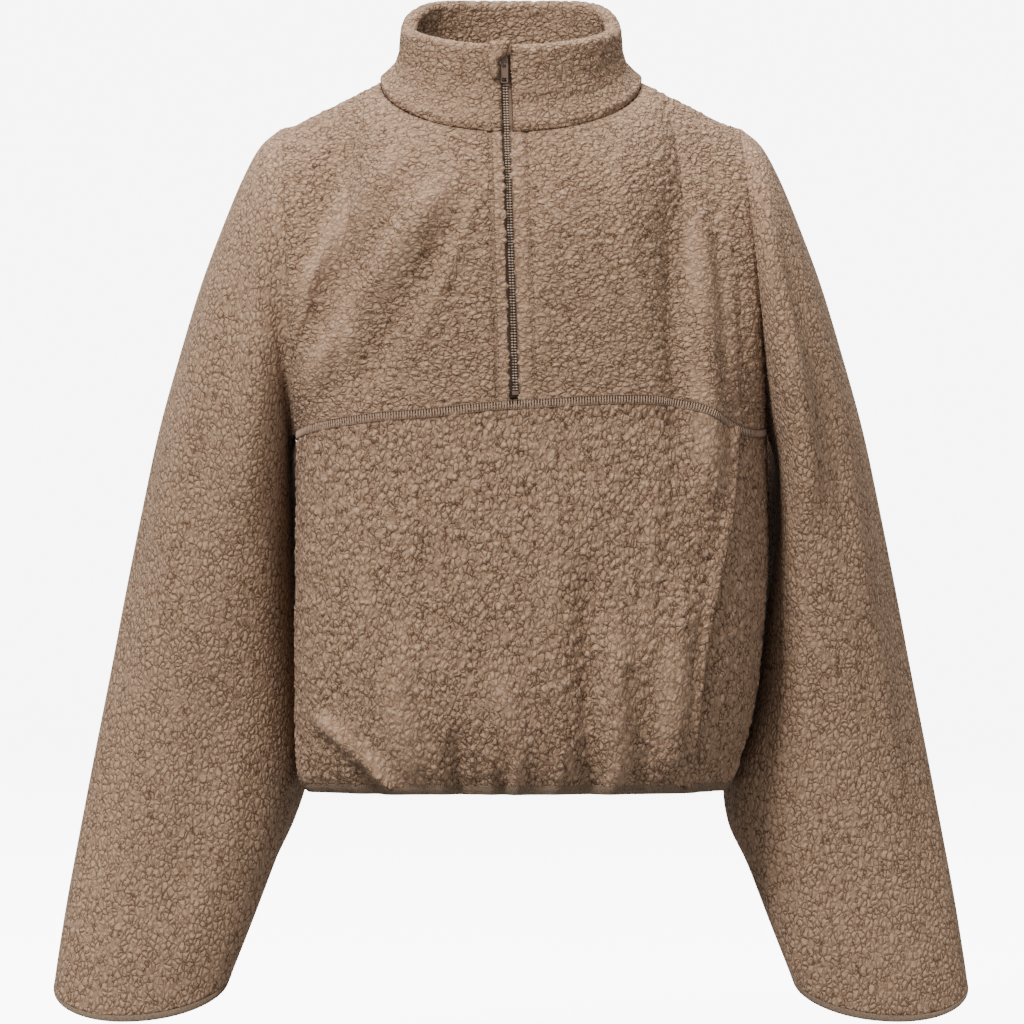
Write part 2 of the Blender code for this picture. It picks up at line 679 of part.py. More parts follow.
def yoke_top_normals(side, face, a):
    """Normals along a yoke's top edge: its own at the neck, the seam's mean on the shoulder."""
    own = normals(draped(yoke(side, face), side * face), a, np.full(a.shape, 1 - 2 * STEP))
    own *= side * face
    shared = shared_shoulder_normals(side, np.clip(a, NECK_SHARE + 0.02, 1))
    return np.where((a > NECK_SHARE - 0.02)[:, None], shared, own)


def make_lower_body(finish, collection):
    down = np.linspace(0, 1, 15)
    panels = (
        ("front_lower", left_front_girth, right_front_girth, 19),
        ("side_panel_right", right_front_girth, right_back_girth, 7),
        ("back_lower", right_back_girth, left_back_round_girth, 15),
        ("side_panel_left", left_back_girth, left_front_girth, 7),
    )
    for name, start, end, columns in panels:
        across = np.linspace(0, 1, columns)
        wall(name, draped(lower_body(start, end), -1), across, down, finish, collection, out=-1, level=(0, -1))


def make_sleeves(finish, collection):
    around = np.linspace(0, 1, 26, endpoint=False)
    last = len(SLEEVE_ROWS) - 1
    cuff = last - CUFF_BAND_SHARE
    along = np.concatenate([[0, 0.5], np.linspace(1, last - 1, 20), [last - 0.6, cuff]])
    for side, name in ((-1, "sleeve_left"), (1, "sleeve_right")):
        centre = armhole_ring(side, 2 * math.pi * around).mean(axis=0)
        away = armhole_ring(side, 2 * math.pi * around) - centre
        away[..., 0] = 0
        edges = {("b", 0): unit(away)}
        wall(name, sleeve(side), around, along, finish, collection, closed=True, out=-side, edges=edges)


def make_bands(finish, collection):
    around = np.linspace(0, 1, 48, endpoint=False)
    loop = girth_at(2 * math.pi) - girth_at(0)

    def hem(a, b):
        return torso_ring(turn_at(a * loop), mixed(HEM_TOP, HEM_BOTTOM, b))

    down = np.array([0, 0.5, 1])
    wall("hem_band", draped(hem, -1), around, down, finish, collection, closed=True, out=-1, level=(0, -1))
    last = len(SLEEVE_ROWS) - 1
    rows = np.array([last - CUFF_BAND_SHARE, last])
    around = np.linspace(0, 1, 26, endpoint=False)
    for side, name in ((-1, "cuff_band_left"), (1, "cuff_band_right")):
        wall(name, sleeve(side), around, rows, finish, collection, closed=True, out=-side)


def make_collar(finish, collection):
    start = math.asin(zip_edge_x(1, 0.0) / COLLAR_RIM_HALF_WIDTH)
    end = math.asin(zip_edge_x(-1, 0.0) / COLLAR_RIM_HALF_WIDTH) + 2 * math.pi
    angles = np.linspace(start, end, 40)
    ring = collar_profile(angles)
    ring[:, 0, 0] = zip_edge_x(1, ring[:, 0, 2])
    ring[:, -1, 0] = zip_edge_x(-1, ring[:, -1, 2])
    count, stations = ring.shape[:2]
    verts = ring.transpose(1, 0, 2).reshape(-1, 3)
    faces = []
    for i in range(stations - 1):
        for j in range(count):
            after = (j + 1) % count
            faces.append((i * count + j, (i + 1) * count + j, (i + 1) * count + after, i * count + after))
    faces.append(tuple(range(count)))
    faces.append(tuple((stations - 1) * count + j for j in reversed(range(count))))
    return add_mesh("collar", verts, faces, finish, collection)


def tape_depth(z):
    """How far the zip's tape lies behind the front face: deeper where the yokes cover it."""
    return mixed(TAPE_DEPTHS[0], TAPE_DEPTHS[1], ease(z, *TAPE_DEPTH_Z))


def strip(name, left, right, heights, proud, thickness, finish, collection):
    """A flat strip between two x positions at each height, its face proud of the zip tape's."""
    x = np.stack([left, (left + right) / 2, right])
    z = np.broadcast_to(heights, x.shape)
    y = front_y(z) + tape_depth(z) - proud
    outer = points(x, y, z)
    return grid_solid(name, outer, outer + np.array([0, thickness, 0]), finish, collection, False, 1)


def make_zip(cloth, coil, metal, collection, cutters):
    low = np.linspace(TAPE_BOTTOM_Z, NECK_FRONT_Z - 0.008, 22)
    high = np.linspace(NECK_FRONT_Z + 0.001, TAPE_PARTING_Z - 0.001, 8)
    heights = np.concatenate([low, high, [TAPE_PARTING_Z, TAPE_TOP_Z]])
    middle = zip_x(heights)
    for side, name in ((-1, "zip_tape_left"), (1, "zip_tape_right")):
        wide = np.full(heights.shape, TAPE_HALF_WIDTH)
        in_collar = np.abs(zip_edge_x(side, heights) - middle) - SEAM_GAP
        width = np.where(heights > NECK_FRONT_Z - 0.009, in_collar, wide)
        parting = np.where(heights >= TAPE_PARTING_Z, TAPE_PARTING, SEAM_GAP / 2)
        inner, outer = middle + side * parting, middle + side * width
        left, right = (outer, inner) if side < 0 else (inner, outer)
        strip(name, left, right, heights, 0.0, TAPE_THICK, cloth, collection)
    on_chain = heights[(heights > STOP_Z + STOP_SIZE[2]) & (heights < CHAIN_TOP_Z)]
    heights = np.concatenate([[STOP_Z + 0.002], on_chain, [CHAIN_TOP_Z]])
    middle = zip_x(heights)
    left, right = middle - CHAIN_WIDTH / 2, middle + CHAIN_WIDTH / 2
    proud = CHAIN_THICK + SEAM_GAP
    strip("zip_chain", left, right, heights, proud, CHAIN_THICK, coil, collection)
    stop_y = float(front_y(STOP_Z) + tape_depth(STOP_Z)) - SEAM_GAP - STOP_SIZE[1] / 2
    place = (float(zip_x(STOP_Z)), stop_y, STOP_Z)
    box("zip_bottom_stop", STOP_SIZE, place, metal, collection, 0.0003)
    make_slider(metal, collection, cutters)


def box(name, size, place, finish, collection, bevel):
    """A box with rounded edges."""
    bpy.ops.mesh.primitive_cube_add(size=1)
    made = bpy.context.object
    made.name = name
    for vert in made.data.vertices:
        vert.co = [c * s for c, s in zip(vert.co, size, strict=True)]
    made.location = place
    made.data.materials.append(finish)
    for home in list(made.users_collection):
        home.objects.unlink(made)
    collection.objects.link(made)
    if bevel:
        rounded = made.modifiers.new("rounded edges", "BEVEL")
        rounded.width = bevel
        rounded.segments = 2
    return made


def joined(target, others, operation="UNION"):
    for other in others:
        cut = target.modifiers.new(other.name, "BOOLEAN")
        cut.operation = operation
        cut.object = other
        cut.solver = "EXACT"
        other.hide_render = True
        other.display_type = "WIRE"


def make_slider(metal, collection, cutters):
    """The slider with its bail, and the pull tab whose origin is on its hinge."""
    face = float(front_y(PIVOT_Z))
    x = float(zip_x(PIVOT_Z))
    front_y_middle = face + FRONT_PLATE_DEPTH + PLATE_THICK / 2
    size = (SLIDER_WIDTH, PLATE_THICK, SLIDER_HEIGHT)
    slider = box("zip_slider", size, (x, front_y_middle, PIVOT_Z), metal, collection, 0.0003)
    back_place = (x, face + BACK_PLATE_DEPTH + PLATE_THICK / 2, PIVOT_Z)
    back = box("slider_back_plate", size, back_place, metal, cutters, 0.0003)
    core_depth = BACK_PLATE_DEPTH - FRONT_PLATE_DEPTH
    core_place = (x, face + FRONT_PLATE_DEPTH + core_depth / 2 + PLATE_THICK / 2, PIVOT_Z + 0.0048)
    core = box("slider_core", (0.0030, core_depth, 0.0040), core_place, metal, cutters, 0)
    bpy.ops.mesh.primitive_torus_add(
        major_radius=BAIL_RADIUS, minor_radius=BAIL_WIRE, major_segments=20, minor_segments=8,
        location=(x, face - PIVOT_FORWARD, PIVOT_Z), rotation=(0, math.pi / 2, 0),
    )
    bail = bpy.context.object
    bail.name = "slider_bail"
    for home in list(bail.users_collection):
        home.objects.unlink(bail)
    cutters.objects.link(bail)
    joined(slider, (back, core, bail))
    make_pull_tab(x, face - PIVOT_FORWARD, metal, collection)


def outline(curve, corners, radius):
    """A closed outline with round corners, from a list of corner points."""
    count = len(corners)
    steps = 5
    spots = []
    for i, corner in enumerate(corners):
        corner = np.array(corner)
        before = unit(np.array(corners[i - 1]) - corner)
        after = unit(np.array(corners[(i + 1) % count]) - corner)
        for step in range(steps):
            angle = math.pi / 2 * step / (steps - 1)
            along = radius * (1 - math.sin(angle)), radius * (1 - math.cos(angle))
            spots.append(corner + before * along[0] + after * along[1])
    spline = curve.splines.new("POLY")
    spline.points.add(len(spots) - 1)
    for point, spot in zip(spline.points, spots, strict=True):
        point.co = (spot[0], spot[1], 0, 1)
    spline.use_cyclic_u = True


def rectangle(width, top, bottom):
    half = width / 2
    return [(-half, top), (-half, bottom), (half, bottom), (half, top)]


def make_pull_tab(x, y, metal, collection):
    curve = bpy.data.curves.new("pull_tab", "CURVE")
    curve.dimensions = "2D"
    curve.fill_mode = "BOTH"
    curve.extrude = TAB_THICK / 2
    outline(curve, rectangle(TAB_WIDTH, TAB_BAR, TAB_BAR - TAB_LENGTH), 0.0012)
    outline(curve, rectangle(TAB_EYE[0], -TAB_BAR, -TAB_BAR - TAB_EYE[1]), 0.0008)
    window_top = TAB_BAR - TAB_LENGTH + 0.0010 + TAB_WINDOW[1]
    outline(curve, rectangle(TAB_WINDOW[0], window_top, window_top - TAB_WINDOW[1]), 0.0004)
    curve.materials.append(metal)
    tab = bpy.data.objects.new("pull_tab", curve)
    tab.location = (x, y, PIVOT_Z)
    tab.rotation_euler = (math.pi / 2, 0, 0)
    collection.objects.link(tab)


def make_garage(finish, collection):
    """The teardrop flap over the zip's top, laid on the collar's front."""
    down = np.linspace(GARAGE["z"][0], GARAGE["z"][-1], 9)
    left = smooth(down, GARAGE["z"], GARAGE["left"])
    right = smooth(down, GARAGE["z"], GARAGE["right"])
    across = np.linspace(0, 1, 6)[:, None]
    x = mixed(left, right, across)
    z = np.broadcast_to(down, x.shape)
    angle = np.arcsin(x / COLLAR_RIM_HALF_WIDTH)
    share = np.clip((z - NECK_FRONT_Z) / (COLLAR_FRONT_Z - NECK_FRONT_Z), 0, 1)
    base = collar_line(angle, share)[0]
    over = np.clip(z - COLLAR_FRONT_Z, 0, COLLAR_RIM_RADIUS * 0.95)
    back = COLLAR_RIM_RADIUS - np.sqrt(COLLAR_RIM_RADIUS**2 - over**2)
    bulge = np.sin(across * math.pi) * 0.0008
    inner = points(x, base[..., 1] + back - GARAGE_LIFT, z)
    outer = points(x, base[..., 1] + back - GARAGE_LIFT - GARAGE_THICK - bulge, z)
    return grid_solid("zip_garage", outer, inner, finish, collection, False, 1)


def main():
    collection, cutters = scene_cleared()
    fleece = material("fleece", (0.33, 0.22, 0.155), 0.95)
    binding = material("binding", (0.26, 0.19, 0.14), 0.9)
    tape = material("zip_tape", (0.27, 0.19, 0.14), 0.8)
    coil = material("zip_coil", (0.25, 0.18, 0.135), 0.5)
    enamel = material("brown_enamel", (0.22, 0.155, 0.115), 0.35, 0.6)
    make_yokes(fleece, collection)
    make_lower_body(fleece, collection)
    make_sleeves(fleece, collection)
    make_collar(fleece, collection)
    make_bands(binding, collection)
    make_zip(tape, coil, enamel, collection, cutters)
    make_garage(fleece, collection)


main()
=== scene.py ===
"""The finish of the fleece zip top on its CAD frame: cloth with its pile, seams, zip, lights and camera.

Metres, +Z up, the front looks along -Y. The cloth's forms are read from the same tables of sections as the
solids', with the pile, the pressed seams and the smaller creases worked into the mesh.
"""

import logging
import math
from collections.abc import Callable
from dataclasses import dataclass, field
from enum import Enum
import bpy
import numpy as np
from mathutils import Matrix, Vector


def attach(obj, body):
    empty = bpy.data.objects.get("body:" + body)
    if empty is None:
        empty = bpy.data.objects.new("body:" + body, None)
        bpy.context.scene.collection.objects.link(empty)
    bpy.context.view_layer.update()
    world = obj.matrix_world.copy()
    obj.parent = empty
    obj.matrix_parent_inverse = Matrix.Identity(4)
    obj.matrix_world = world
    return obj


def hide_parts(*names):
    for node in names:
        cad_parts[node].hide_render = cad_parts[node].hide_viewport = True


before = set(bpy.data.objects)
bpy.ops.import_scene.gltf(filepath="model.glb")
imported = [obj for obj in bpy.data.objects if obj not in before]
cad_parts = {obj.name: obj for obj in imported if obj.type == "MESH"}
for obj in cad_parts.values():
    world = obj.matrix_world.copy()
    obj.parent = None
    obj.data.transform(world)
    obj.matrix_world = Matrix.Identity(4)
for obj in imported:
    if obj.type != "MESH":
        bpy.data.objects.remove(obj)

log = logging.getLogger("fleece_zip_top")
Array = np.ndarray
Surface = Callable[[Array, Array], Array]
Faces = list[tuple[int, ...]]
Path = tuple[Array, Array]

# The gap between neighbouring pieces at a seam.
SEAM_GAP = 0.0003

# The body below the chest seam: the outer surface's sections by height.
SQUARENESS = 2.5
FRONT_X = 0.004
TORSO_COLUMNS = ("z", "left", "right", "front", "back", "left_depth", "right_depth")
TORSO_ROWS = (
    (-0.545, -0.154, 0.160, -0.103, 0.080, -0.020, 0.000),
    (-0.534, -0.160, 0.167, -0.107, 0.084, -0.024, -0.002),
    (-0.520, -0.163, 0.173, -0.115, 0.092, -0.028, -0.004),
    (-0.500, -0.1635, 0.1805, -0.122, 0.097, -0.032, -0.005),
    (-0.470, -0.164, 0.187, -0.126, 0.100, -0.035, -0.005),
    (-0.425, -0.164, 0.192, -0.127, 0.102, -0.035, -0.005),
    (-0.366, -0.1635, 0.196, -0.125, 0.103, -0.035, -0.005),
    (-0.310, -0.163, 0.1955, -0.122, 0.104, -0.035, -0.005),
    (-0.262, -0.163, 0.195, -0.119, 0.104, -0.035, -0.005),
)
HEM_TOP = -0.534
HEM_BOTTOM = -0.5415
CHEST_Z = -0.262
GIRTH_Z = -0.366

# The body's seams: the chest seam by its turn in degrees from centre front, the front's side seams by height.
CHEST_SEAM_COLUMNS = ("turn", "z")
CHEST_SEAM_ROWS = (
    (-180, -0.262),
    (-130, -0.266),
    (-90, -0.271),
    (-53, -0.2626),
    (-34, -0.2576),
    (-16, -0.2541),
    (-3, -0.2494),
    (5, -0.2470),
    (18, -0.2446),
    (30, -0.2453),
    (40, -0.2500),
    (50, -0.2600),
    (60, -0.2670),
    (90, -0.2676),
    (130, -0.265),
    (180, -0.262),
)

SIDE_SEAM_COLUMNS = ("z", "left_turn", "right_turn")
SIDE_SEAM_ROWS = (
    (-0.545, -97, 49),
    (-0.500, -97, 45),
    (-0.460, -97, 44),
    (-0.400, -97, 47),
    (-0.366, -97, 50),
    (-0.335, -97, 53),
    (-0.262, -97, 57),
)
SIDE_PANEL_WIDTH = 0.11

# The neck seam, and the share of a yoke's width that ends on it.
NECK_HALF_WIDTH = 0.0997
NECK_Y = -0.005
NECK_FRONT = -0.088
NECK_BACK = 0.060
NECK_FRONT_Z = -0.0424
NECK_BACK_Z = 0.012
NECK_SHARE = 0.5

# The right armhole's top.
ARMHOLE_TOP = (0.174, 0.010, -0.0365)

# The yokes between their seams: slopes at the neck and the arm, and how far the curves hold their direction.
NECK_POINT_SLOPE = -0.36
ARM_POINT_SLOPE = -0.10
CENTRE_FOOT_HOLD = 0.075
CENTRE_HEAD_HOLD = 0.070
CENTRE_BULGE = 0.03
CENTRE_SHARE = 0.25
ARM_RISE = 0.70
SHOULDER_SWING = math.radians(45)

# The sleeves' sections, from the armhole to the cuff's end.
SLEEVE_COLUMNS = ("outer_x", "outer_z", "inner_left_x", "inner_right_x", "inner_z", "front", "back", "drop")
SLEEVE_ROWS = (
    (0.174, -0.0365, 0.163, 0.195, -0.271, -0.060, 0.075, 0.0),
    (0.190, -0.0500, 0.1690, 0.2030, -0.280, -0.067, 0.082, 0.0),
    (0.2035, -0.0745, 0.1700, 0.2055, -0.291, -0.071, 0.087, 0.0),
    (0.2180, -0.1090, 0.1700, 0.2070, -0.306, -0.071, 0.090, 0.0),
    (0.2355, -0.1550, 0.1690, 0.2070, -0.326, -0.067, 0.093, 0.0),
    (0.2520, -0.2085, 0.1685, 0.2060, -0.350, -0.061, 0.094, 0.0),
    (0.2680, -0.2660, 0.1680, 0.2030, -0.376, -0.054, 0.093, 0.0),
    (0.2815, -0.3275, 0.1670, 0.1990, -0.406, -0.047, 0.091, 0.0),
    (0.2940, -0.3890, 0.1660, 0.1955, -0.442, -0.040, 0.088, 0.0),
    (0.3055, -0.4500, 0.1655, 0.1895, -0.484, -0.035, 0.084, 0.0),
    (0.3175, -0.5115, 0.1655, 0.1755, -0.527, -0.032, 0.078, 0.0),
    (0.3290, -0.5730, 0.1740, 0.1735, -0.569, -0.032, 0.070, 0.002),
    (0.3385, -0.6265, 0.1875, 0.1875, -0.607, -0.033, 0.060, 0.007),
    (0.3455, -0.6725, 0.2025, 0.2025, -0.646, -0.036, 0.050, 0.015),
    (0.3480, -0.6935, 0.2180, 0.2180, -0.6835, -0.038, 0.040, 0.028),
)
SLEEVE_ROUNDNESS = 2.1
CUFF_BAND_SHARE = 0.2
ARMHOLE_SEAM_GAP = 0.0010
SLEEVE_BACK_IN = 0.035
SLEEVE_BACK_IN_ROWS = (2.0, 5.0, 10.0, 13.0)

# The stand collar: its rim, its doubled wall, and how it spreads towards the neck seam by share of height.
COLLAR_RIM_HALF_WIDTH = 0.0785
COLLAR_RIM_FRONT = -0.074
COLLAR_RIM_BACK = 0.056
COLLAR_RIM_RADIUS = 0.0058
COLLAR_FRONT_Z = 0.0180
COLLAR_SIDE_Z = 0.0360
COLLAR_BACK_Z = 0.0610
COLLAR_WALL = 0.0095
COLLAR_FLARE = ((0.0, 0.96), (0.09, 1.0), (0.2, 0.66), (0.35, 0.28), (0.6, 0.07), (1.0, 0.0))

# The zip: its line, the gaps to the cloth's edges low and high, its tapes and its coil.
ZIP_TOP_X = -0.0052
ZIP_TOP_Z = 0.016
ZIP_SLOPE = 0.0335
ZIP_LEFT_GAP = (0.0043, 0.0029)
ZIP_RIGHT_GAP = (0.0062, 0.0050)
ZIP_BOTTOM_Z = -0.2415
TAPE_TOP_Z = 0.017
TAPE_BOTTOM_Z = -0.2435
TAPE_THICK = 0.0007
TAPE_HALF_WIDTH = 0.011
TAPE_DEPTHS = (0.0046, 0.0036)
TAPE_DEPTH_Z = (-0.050, -0.034)
TAPE_PARTING_Z = 0.0105
TAPE_PARTING = 0.0019
CHAIN_WIDTH = 0.0046
CHAIN_THICK = 0.0013
CHAIN_TOP_Z = 0.0036
STOP_Z = -0.2400

# The flap over the zip's top.
GARAGE_COLUMNS = ("z", "left", "right")
GARAGE_ROWS = (
    (-0.0028, -0.0130, -0.0106),
    (0.0010, -0.0153, -0.0091),
    (0.0050, -0.0166, -0.0085),
    (0.0116, -0.0172, -0.0083),
    (0.0146, -0.0174, -0.0030),
    (0.0175, -0.0172, -0.0014),
    (0.0215, -0.0158, -0.0004),
)
GARAGE_THICK = 0.0022
GARAGE_LIFT = 0.0006
GARAGE_LOOP_RISE = 0.0050

# The body's folds; face is 1 for the front, -1 for the back. Creases are slighter, in the finish alone.
FOLD_COLUMNS = ("x_top", "z_top", "x_bottom", "z_bottom", "width", "height", "face")
BODY_FOLDS = (
    (-0.045, -0.070, -0.150, -0.235, 0.016, 0.0060, 1),
    (-0.080, -0.050, -0.160, -0.170, 0.014, 0.0040, 1),
    (-0.045, -0.110, -0.115, -0.240, 0.012, -0.0035, 1),
    (0.140, -0.080, 0.150, -0.330, 0.013, 0.0060, 1),
    (0.120, -0.090, 0.128, -0.300, 0.010, -0.0035, 1),
    (0.059, -0.360, 0.060, -0.560, 0.011, -0.0050, 1),
    (0.080, -0.410, 0.076, -0.560, 0.012, 0.0050, 1),
    (-0.079, -0.420, -0.080, -0.560, 0.015, 0.0050, 1),
    (-0.040, -0.490, -0.040, -0.570, 0.008, -0.0045, 1),
    (0.128, -0.380, 0.118, -0.560, 0.012, 0.0050, 1),
    (-0.145, -0.480, -0.080, -0.545, 0.011, 0.0060, 1),
    (-0.010, -0.440, 0.012, -0.570, 0.012, 0.0035, 1),
    (-0.080, -0.060, -0.110, -0.260, 0.016, 0.0060, -1),
    (0.090, -0.060, 0.115, -0.260, 0.016, 0.0060, -1),
    (-0.060, -0.330, -0.055, -0.560, 0.014, 0.0050, -1),
    (0.000, -0.300, 0.005, -0.560, 0.013, -0.0050, -1),
    (0.070, -0.360, 0.075, -0.560, 0.014, 0.0055, -1),
    (0.120, -0.420, 0.112, -0.560, 0.010, -0.0040, -1),
)
LEVEL_LIFT_Z = (-0.24, -0.18)
HEM_GATHERS = 24
HEM_GATHER_HEIGHT = 0.0016
HEM_GATHER_REACH = 0.035

# The sleeves' folds, by row of the table of sections and by degrees round the sleeve.
SLEEVE_FOLD_COLUMNS = ("row_top", "row_bottom", "angle_top", "angle_bottom", "width", "height")
SLEEVE_FOLDS = (
    (1.0, 8.0, 55, 75, 16, 0.0060),
    (2.0, 6.5, 95, 105, 14, -0.0050),
    (6.0, 13.0, 30, 40, 18, 0.0045),
    (8.0, 13.0, 100, 95, 18, 0.0040),
    (1.5, 8.0, 290, 275, 18, 0.0060),
    (5.0, 12.0, 320, 330, 18, 0.0040),
    (7.0, 12.5, 250, 255, 16, -0.0040),
)

BODY_CREASES = (
    (-0.020, -0.080, -0.075, -0.215, 0.006, 0.0022, 1),
    (-0.115, -0.060, -0.165, -0.200, 0.006, 0.0020, 1),
    (-0.100, -0.120, -0.140, -0.245, 0.005, -0.0018, 1),
    (0.030, -0.090, 0.020, -0.220, 0.010, 0.0016, 1),
    (0.075, -0.060, 0.100, -0.200, 0.008, 0.0020, 1),
    (0.162, -0.080, 0.168, -0.250, 0.006, 0.0020, 1),
    (-0.120, -0.300, -0.100, -0.480, 0.010, 0.0016, 1),
    (-0.060, -0.340, -0.075, -0.500, 0.007, -0.0016, 1),
    (0.030, -0.300, 0.035, -0.480, 0.009, 0.0015, 1),
    (0.110, -0.290, 0.100, -0.450, 0.007, 0.0016, 1),
    (-0.120, -0.100, -0.140, -0.240, 0.008, 0.0025, -1),
    (0.040, -0.120, 0.050, -0.250, 0.009, -0.0020, -1),
)
SLEEVE_CREASES = (
    (2.0, 7.0, 70, 92, 7, 0.0022),
    (4.0, 9.0, 50, 62, 6, -0.0018),
    (7.0, 12.5, 62, 74, 9, 0.0022),
    (9.0, 13.8, 118, 112, 8, -0.0020),
    (3.0, 10.0, 15, 22, 8, 0.0022),
    (3.0, 9.0, 240, 262, 8, 0.0022),
)
FOLD_BOOST = 1.6

# The pile near seams, edges and stitched lines.
PILE_SLACK = 0.0004
SEAM_PRESS_WIDTH = 0.0060
SEAM_PRESS_DEPTH = 0.0007
ROLL_WIDTH = 0.013
GROOVE_DEPTH = 0.0024
GROOVE_WIDTH = 0.0018
GROOVE_NAP = 0.6
GROOVE_NAP_WIDTH = 0.002
NAP_FLATTENING = 0.6
RAGGED_WIDTH = 0.005
RAGGED_MIDDLE = 0.45
HIDDEN_CLUMP = 0.4
INNER_EVERY = 3

# Where the nap lies smooth: on folds of this height, and down a streak at each sleeve's outer edge.
NAP_FOLD_HEIGHT = 0.006
NAP_PATCHES = (0.1, 0.6)
STREAK_DEGREES = 24
STREAK_WIDTH = 9
STREAK_ROWS = (0.5, 3.0, 9.0, 13.0)
STREAK_NAP = 0.7


def smooth(at: Array, places: Array, values: Array) -> Array:
    """Values read along the smooth curve through a table's column."""
    slopes = np.gradient(values, places)
    i = np.clip(np.searchsorted(places, at) - 1, 0, len(places) - 2)
    step = places[i + 1] - places[i]
    f = np.clip((at - places[i]) / step, 0, 1)
    rise = values[i + 1] - values[i]
    ends = slopes[i] + slopes[i + 1]
    bend = (3 * rise - step * (slopes[i] + ends)) * f**2 + (step * ends - 2 * rise) * f**3
    return values[i] + step * slopes[i] * f + bend


def ease(at: Array, low: float, high: float) -> Array:
    """A smooth step from 0 at low to 1 at high."""
    f = np.clip((at - low) / (high - low), 0, 1)
    return f * f * (3 - 2 * f)


def mixed(a: Array, b: Array, share: Array) -> Array:
    """Points or numbers between a and b."""
    return a + (b - a) * share


def points(x: Array, y: Array, z: Array) -> Array:
    """Arrays of coordinates as one array of points."""
    return np.stack(np.broadcast_arrays(x, y, z), axis=-1)


def unit(vectors: Array) -> Array:
    """The vectors at length 1."""
    return vectors / np.linalg.norm(vectors, axis=-1, keepdims=True)


def lengths_along(grid: Array, axis: int) -> Array:
    """The distance run along each line of a grid of points."""
    steps = np.linalg.norm(np.diff(grid, axis=axis), axis=-1)
    start = np.zeros_like(np.take(grid[..., 0], [0], axis=axis))
    return np.concatenate([start, np.cumsum(steps, axis=axis)], axis=axis)


class Noise:
    """Repeatable cell noise for the pile's curls."""

    def __init__(self, seed: int) -> None:
        """Keeps the seed that sets where the cells lie."""
        self.seed = seed

    def hashed(self, cell: Array, channel: int) -> Array:
        """A repeatable number from 0 to 1 for each whole cell.

        Args:
            cell: Whole numbers, three to a cell.
            channel: Which of a cell's numbers to give.

        Returns:
            One number a cell.
        """
        mix = cell[..., 0] * 73856093 ^ cell[..., 1] * 19349663 ^ cell[..., 2] * 83492791
        mix = (mix ^ (channel + self.seed) * 668265263) & 0x7FFFFFFF
        mix = (mix ^ (mix >> 13)) * 1274126177 & 0x7FFFFFFF
        mix = (mix ^ (mix >> 16)) * 69069 & 0x7FFFFFFF
        return (mix & 0xFFFFFF) / float(0xFFFFFF)

    def curls(self, place: Array, size: Array) -> Array:
        """How near each place is to the middle of its curl, from 0 in a crevice to 1.

        Args:
            place: Points on the cloth.
            size: A curl's size along each axis, in metres.

        Returns:
            One height a point.
        """
        scaled = place / size
        home = np.floor(scaled).astype(np.int64)
        nearest = np.full(place.shape[:-1], 9.0)
        second = nearest.copy()
        for step in np.ndindex(3, 3, 3):
            cell = home + np.array(step) - 1
            spot = cell + np.stack([self.hashed(cell, channel) for channel in range(3)], axis=-1)
            away = np.linalg.norm(spot - scaled, axis=-1)
            second = np.minimum(second, np.maximum(nearest, away))
            nearest = np.minimum(nearest, away)
        return ease(second - nearest, 0.0, 0.55)

    def drift(self, place: Array, size: float) -> Array:
        """Slow change over the cloth, from -1 to 1."""
        turns = place * (2 * math.pi / size)
        shift = self.seed * 1.7
        waves = np.sin(turns[..., 0] * 1.1 + np.sin(turns[..., 2] * 0.8 + shift))
        waves = waves + np.sin(turns[..., 2] * 0.9 + np.sin(turns[..., 0] * 1.3 + shift) * 1.4)
        waves = waves + np.sin((turns[..., 0] + turns[..., 1] + turns[..., 2]) * 0.7 + shift)
        return waves / 3


class Columns:
    """A table of sections, read along its first column."""

    def __init__(self, names: tuple[str, ...], rows: tuple[tuple[float, ...], ...]) -> None:
        """Keeps each column by its name."""
        self.names = names
        self.of = {name: np.array([row[i] for row in rows], float) for i, name in enumerate(names)}

    def at(self, name: str, place: Array) -> Array:
        """A column's value at a place in the first column."""
        return smooth(place, self.of[self.names[0]], self.of[name])


